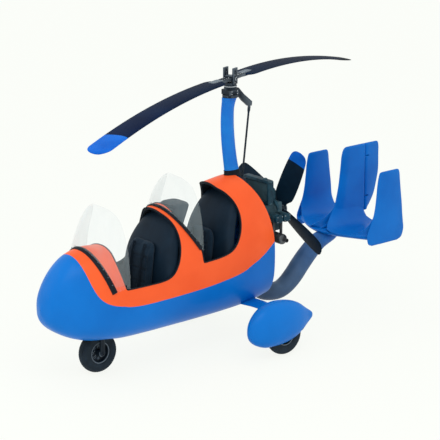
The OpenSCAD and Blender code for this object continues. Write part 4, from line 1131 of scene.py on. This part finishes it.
for k, (low, high) in enumerate(zip(stops[0::2], stops[1::2])):      # three stretches with the hinge gaps between them
    z = np.linspace(low, high, 50)
    lead, trail = (np.interp(z, rows[:, 0], rows[:, c])[:, None] for c in (1, 2))
    chord = np.abs(trail - lead)
    ends = [np.clip((z - low) / 0.012, 0.02, 1), np.ones(50), np.clip((high - z) / 0.016, 0.02, 1)]
    reach = chord * share
    # round nose of the hinge's radius, then a straight taper to a thin trailing edge
    front = np.sqrt(np.clip(nose ** 2 - (nose - reach) ** 2, 0, None))
    taper = 1 - np.clip((reach - nose) / np.maximum(chord - nose, 1e-4), 0, 1) ** 1.5
    half = np.where(reach < nose, front, nose * taper + rudder["edge"] * (share < 0.999))
    parts.append(closedLoft(points(lead - reach, half * sideOf(turn) * np.sqrt(ends[k])[:, None], z[:, None])))
turn = circle(40)
share = (1 - np.cos(turn)) / 2
for middle in hinges["z"]:      # behind each hinge the rudder carries on
    z = np.linspace(middle - 0.0066, middle + 0.0066, 4)[:, None]
    reach = np.abs(np.interp(z, rows[:, 0], rows[:, 2]) - rudder["behindX"]) * share
    half = rudder["behindHalf"] * (1 - share ** 1.5) * np.minimum(1, share / 0.02 + 0.4)
    parts.append(closedLoft(points(rudder["behindX"] - reach, half * sideOf(turn), z)))
addPiece("rudderPanel", merged(*parts), tailPaint, "rudder_body", "rudder", 50)
print("tail made")

# main wheels
gear = {"x": -0.04, "track": 0.76, "tyreRadius": 0.2, "tyreWidth": 0.11, "rim": 0.105, "bore": 0.0142, "hubHalf": 0.045,
        "bow": [[0.0, 0.402, 0.22, 0.04], [0.2, 0.402, 0.22, 0.04], [0.4, 0.412, 0.19, 0.038],
                [0.577, 0.404, 0.15, 0.034], [0.687, 0.392, 0.12, 0.03]]}
half = splineRows(gear["bow"], 50)
rows = np.concatenate([half[::-1] * (-1, 1, 1, 1), half[1:]])
c, s = powerRing(circle(40), 2.3)
shape = closedLoft(points(gear["x"] + rows[:, 2, None] / 2 * c, rows[:, :1],
                          rows[:, 1, None] + rows[:, 3, None] / 2 * s))
addPiece("mainGearBow", shape, bluePaint, stands="main_gear_bow")
softened("main_axles", "mainAxles", darkMetal, 0.002)

fairing = {"rows": [[-0.374, 0.001, 0.318, 0.325, 0.332], [-0.372, 0.01, 0.304, 0.325, 0.346],
                    [-0.29, 0.042, 0.245, 0.325, 0.41], [-0.16, 0.09, 0.165, 0.33, 0.5],
                    [-0.01, 0.12, 0.125, 0.335, 0.548], [0.13, 0.128, 0.115, 0.335, 0.56],
                    [0.26, 0.116, 0.122, 0.33, 0.535], [0.36, 0.086, 0.16, 0.322, 0.475],
                    [0.425, 0.048, 0.215, 0.312, 0.405], [0.455, 0.012, 0.285, 0.308, 0.332],
                    [0.457, 0.001, 0.303, 0.308, 0.314]],
           "powers": (2.3, 2.6), "wall": 0.008, "stations": 130, "around": 96, "wheelGap": (0.012, 0.014),
           "gapTop": 0.33,
           # half length, half height and height of the bow's hole; half length, height and depth of the bracket's
           "bowHole": (0.064, 0.019, 0.392), "bracketHole": (0.052, 0.2, -0.04)}
fairing["table"] = eggTable(fairing["rows"], 400, 0.0004)


def wheelGap(spots):
    # positive outside a slot as wide and as long as the tyre with room round it
    beside, about = fairing["wheelGap"]
    across = np.abs(spots[:, 1]) - (gear["tyreWidth"] / 2 + beside)
    gap = np.maximum(across, np.hypot(spots[:, 0], spots[:, 2] - gear["tyreRadius"]) - (gear["tyreRadius"] + about))
    return np.where(spots[:, 2] < fairing["gapTop"], gap, 1)


def bowHole(spots):
    # positive outside an ellipse on the inner side, where the bow enters
    length, height, z = fairing["bowHole"]
    return np.where(spots[:, 1] < 0, np.hypot(spots[:, 0] / length, (spots[:, 2] - z) / height) - 1, 1)


def bracketHole(spots):
    # positive outside a low rectangle on the inner side, for the axle's bracket
    length, z, y = fairing["bracketHole"]
    return np.where(spots[:, 1] < y, np.maximum(np.abs(spots[:, 0]) - length, spots[:, 2] - z), 1)


shellVerts, shellSets = eggShell(fairing, [wheelGap, bowHole, bracketHole])


def tyreShape(width, radius, rimRadius, centre):
    # closed profile: bead, sidewall with two fine rings, shoulder and a crown with three grooves; turned about the axle
    shoulder = radius - width * 0.32
    a = np.radians(np.linspace(80, -80, 65))
    across, out = width / 2 * np.sin(a), shoulder + width * 0.32 * np.cos(a)
    cut = sum(np.exp(-((across - g * width) / 0.0022) ** 2) for g in (-0.17, 0.0, 0.17)) * 0.0045
    rib = 0.0016 * (np.exp(-((np.abs(across) - width * 0.455) / 0.0025) ** 2)
                    + np.exp(-((np.abs(across) - width * 0.41) / 0.002) ** 2))
    profile = np.stack([out - cut + rib, across], 1)
    bead = np.array([[rimRadius + 0.0003, -width * 0.36], [rimRadius + 0.0003, width * 0.36]])
    wall = np.array([[rimRadius + 0.01, width * 0.425], [rimRadius + 0.006, width * 0.395]])
    full = np.concatenate([bead, wall[::-1], profile, wall * (1, -1)])
    verts, sets = ringBody(full, (0, 0, 0), (0, 1, 0), 144, wrap=True)
    # tread blocks: across the crown the radius dips at even turns
    r = np.hypot(verts[:, 0], verts[:, 2])
    angle = np.arctan2(verts[:, 2], verts[:, 0])
    crown = np.clip((r - radius + 0.022) / 0.014, 0, 1) * (np.abs(verts[:, 1]) > width * 0.2)
    dip = 0.0035 * crown * (np.cos(angle * 48 + np.sign(verts[:, 1]) * 1.6) > 0.55)
    verts[:, [0, 2]] *= ((r - dip) / r)[:, None]
    return verts + np.asarray(centre), sets


def rimShape(width, rimRadius, hubHalf, centre, openings=8):
    # dished wheel: rolled lips outside, a ring of holes pressed as cups, and a hub on the axle
    w, bore, centre = width * 0.36, gear["bore"], np.asarray(centre)
    profile = [(bore, -hubHalf), (bore + 0.018, -hubHalf), (bore + 0.02, -hubHalf + 0.003), (bore + 0.02, -0.012),
               (bore + 0.028, -0.009), (rimRadius - 0.03, -0.007), (rimRadius - 0.016, -0.01),
               (rimRadius - 0.012, -0.02), (rimRadius - 0.012, -w + 0.006), (rimRadius - 0.008, -w + 0.001),
               (rimRadius, -w)]
    profile += [(radius, -across) for radius, across in profile[::-1]]
    parts = [ringBody(profile, centre, (0, 1, 0), 72, wrap=True)]
    cup = [(0.0075, 0.004), (0.0075, 0.0105), (0.0115, 0.011), (0.0125, 0.0085), (0.0125, 0.004)]
    ring = (bore + rimRadius) / 2 + 0.004
    for a in 2 * math.pi * np.arange(openings) / openings:
        spot = centre + (ring * math.cos(a), 0, ring * math.sin(a))
        parts += [ringBody(cup, spot, (0, s, 0), 20, wrap=True) for s in (-1, 1)]
    ring = bore + 0.03
    studs = [centre + (ring * math.cos(a), 0, ring * math.sin(a)) for a in np.radians(np.arange(20, 380, 60))]
    parts += [bolts([p + (0, s * 0.0085, 0) for p in studs], (0, s, 0), 0.005, 0.005) for s in (-1, 1)]
    return merged(*parts)


def addWheel(name, width, radius, hubHalf, centre):
    # tyre and rim on a wheel's body
    addPiece(name + "Tyre", tyreShape(width, radius, gear["rim"], centre), rubber, name + "_wheel", name + "_tyre", 30)
    addPiece(name + "Rim", rimShape(width, gear["rim"], hubHalf, centre), darkMetal, name + "_wheel",
             name + "_wheel_rim", 40)


for name, s in (("port", 1), ("starboard", -1)):
    verts, sets = (shellVerts, shellSets) if s > 0 else mirrored((shellVerts, shellSets))
    moved = verts + (gear["x"], s * gear["track"], 0)
    addPiece(name + "WheelFairing", (moved, sets), bluePaint, stands=name + "_wheel_fairing", sharp=45)
    addWheel(name, gear["tyreWidth"], gear["tyreRadius"], gear["hubHalf"],
             (gear["x"], s * gear["track"], gear["tyreRadius"]))
print("main wheels made")

# nose wheel
noseGear = {"x": 1.65, "radius": 0.2, "width": 0.13, "hubHalf": 0.074, "boltX": (1.64, 1.67), "boltY": 0.055,
            "boltZ": 0.424}
addWheel("nose", noseGear["width"], noseGear["radius"], noseGear["hubHalf"], (noseGear["x"], 0, noseGear["radius"]))
softened("nose_fork", "noseFork", darkMetal, 0.003)
softened("nose_steering_head", "steeringHead", darkMetal, 0.002)
crown = [(x, s * noseGear["boltY"], noseGear["boltZ"]) for x in noseGear["boltX"] for s in (-1, 1)]
addPiece("forkBolts", bolts(crown, up), brightMetal, "steered_fork")
print("nose wheel made")

# floor and firewall keep their CAD solids, with their own finish
for node, material in (("firewall", firewallSheet), ("cockpit_floor", carpet)):
    nodes[node].data.materials.clear()
    nodes[node].data.materials.append(material)
line = evenly([[-0.11, 1.51], [-0.2, 1.34], [-0.255, 1.18], [-0.29, 1.0], [-0.29, 0.6]], 14)
inset = skinY(line[:, 0], line[:, 1]) - 0.04
heads = np.concatenate([points(line[:, 0] - 0.0005, s * inset, line[:, 1]) for s in (-1, 1)])
addPiece("firewallRivets", bolts(heads, (-1, 0, 0.25), 0.005, 0.003), brightMetal)

# floor, backdrop and light
studio = {"pale": (0.985, 1.0, 0.955, 1), "floor": (0.86, 0.88, 0.85, 1), "air": (0.95, 0.98, 1.0, 1), "half": 60,
          "world": 1.0,
          "shadow": 0.12, "aim": (0, 0, 1.1),
          # place, power and size
          "lamps": {"keyLamp": ((3.5, 4.0, 7.0), 130.0, 4.5), "fillLamp": ((6.0, -2.5, 4.0), 40.0, 5.0)}}


def paleToCamera(tree, plain, glowKind, share=1.0):
    # camera, glossy and transmission rays see the pale studio, by its share, and the rest see the plain shader
    rays = addNode(tree, "LightPath").outputs
    seen = addNode(tree, "Math", {0: rays["Is Camera Ray"], 1: rays["Is Glossy Ray"]}, operation="MAXIMUM").outputs[0]
    more = addNode(tree, "Math", {0: seen, 1: rays["Is Transmission Ray"]}, operation="MAXIMUM").outputs[0]
    part = addNode(tree, "Math", {0: more, 1: share}, operation="MULTIPLY").outputs[0]
    glow = addNode(tree, glowKind, {"Color": studio["pale"]})
    mix = addNode(tree, "MixShader", {0: part, 1: plain.outputs[0], 2: glow.outputs[0]})
    output = next(n for n in tree.nodes if n.type.startswith("OUTPUT"))
    tree.links.new(mix.outputs[0], output.inputs["Surface"])


far = studio["half"]
floorMesh = meshFrom("studioFloor", [[-far, -far, 0], [far, -far, 0], [far, far, 0], [-far, far, 0]],
                     [np.array([[0, 1, 2, 3]])])
placed("studioFloor", floorMesh)
floorPaint = bpy.data.materials.new("studioFloor")
floorPaint.use_nodes = True
shader = floorPaint.node_tree.nodes["Principled BSDF"]
setInputs(shader, {"Base Color": studio["floor"], "Roughness": 0.9})
paleToCamera(floorPaint.node_tree, shader, "Emission", 1 - studio["shadow"])
floorMesh.materials.append(floorPaint)
world = bpy.data.worlds.new("studio")
world.use_nodes = True
bpy.context.scene.world = world
plain = world.node_tree.nodes["Background"]
setInputs(plain, {"Color": studio["air"], "Strength": studio["world"]})
paleToCamera(world.node_tree, plain, "Background")
for name, (spot, power, size) in studio["lamps"].items():
    lamp = bpy.data.lights.new(name, "AREA")
    lamp.energy, lamp.size = power, size
    lampObject = placed(name, lamp)
    lampObject.location = spot
    lampObject.rotation_euler = (Vector(spot) - Vector(studio["aim"])).to_track_quat("Z", "Y").to_euler()

print("scene ready")
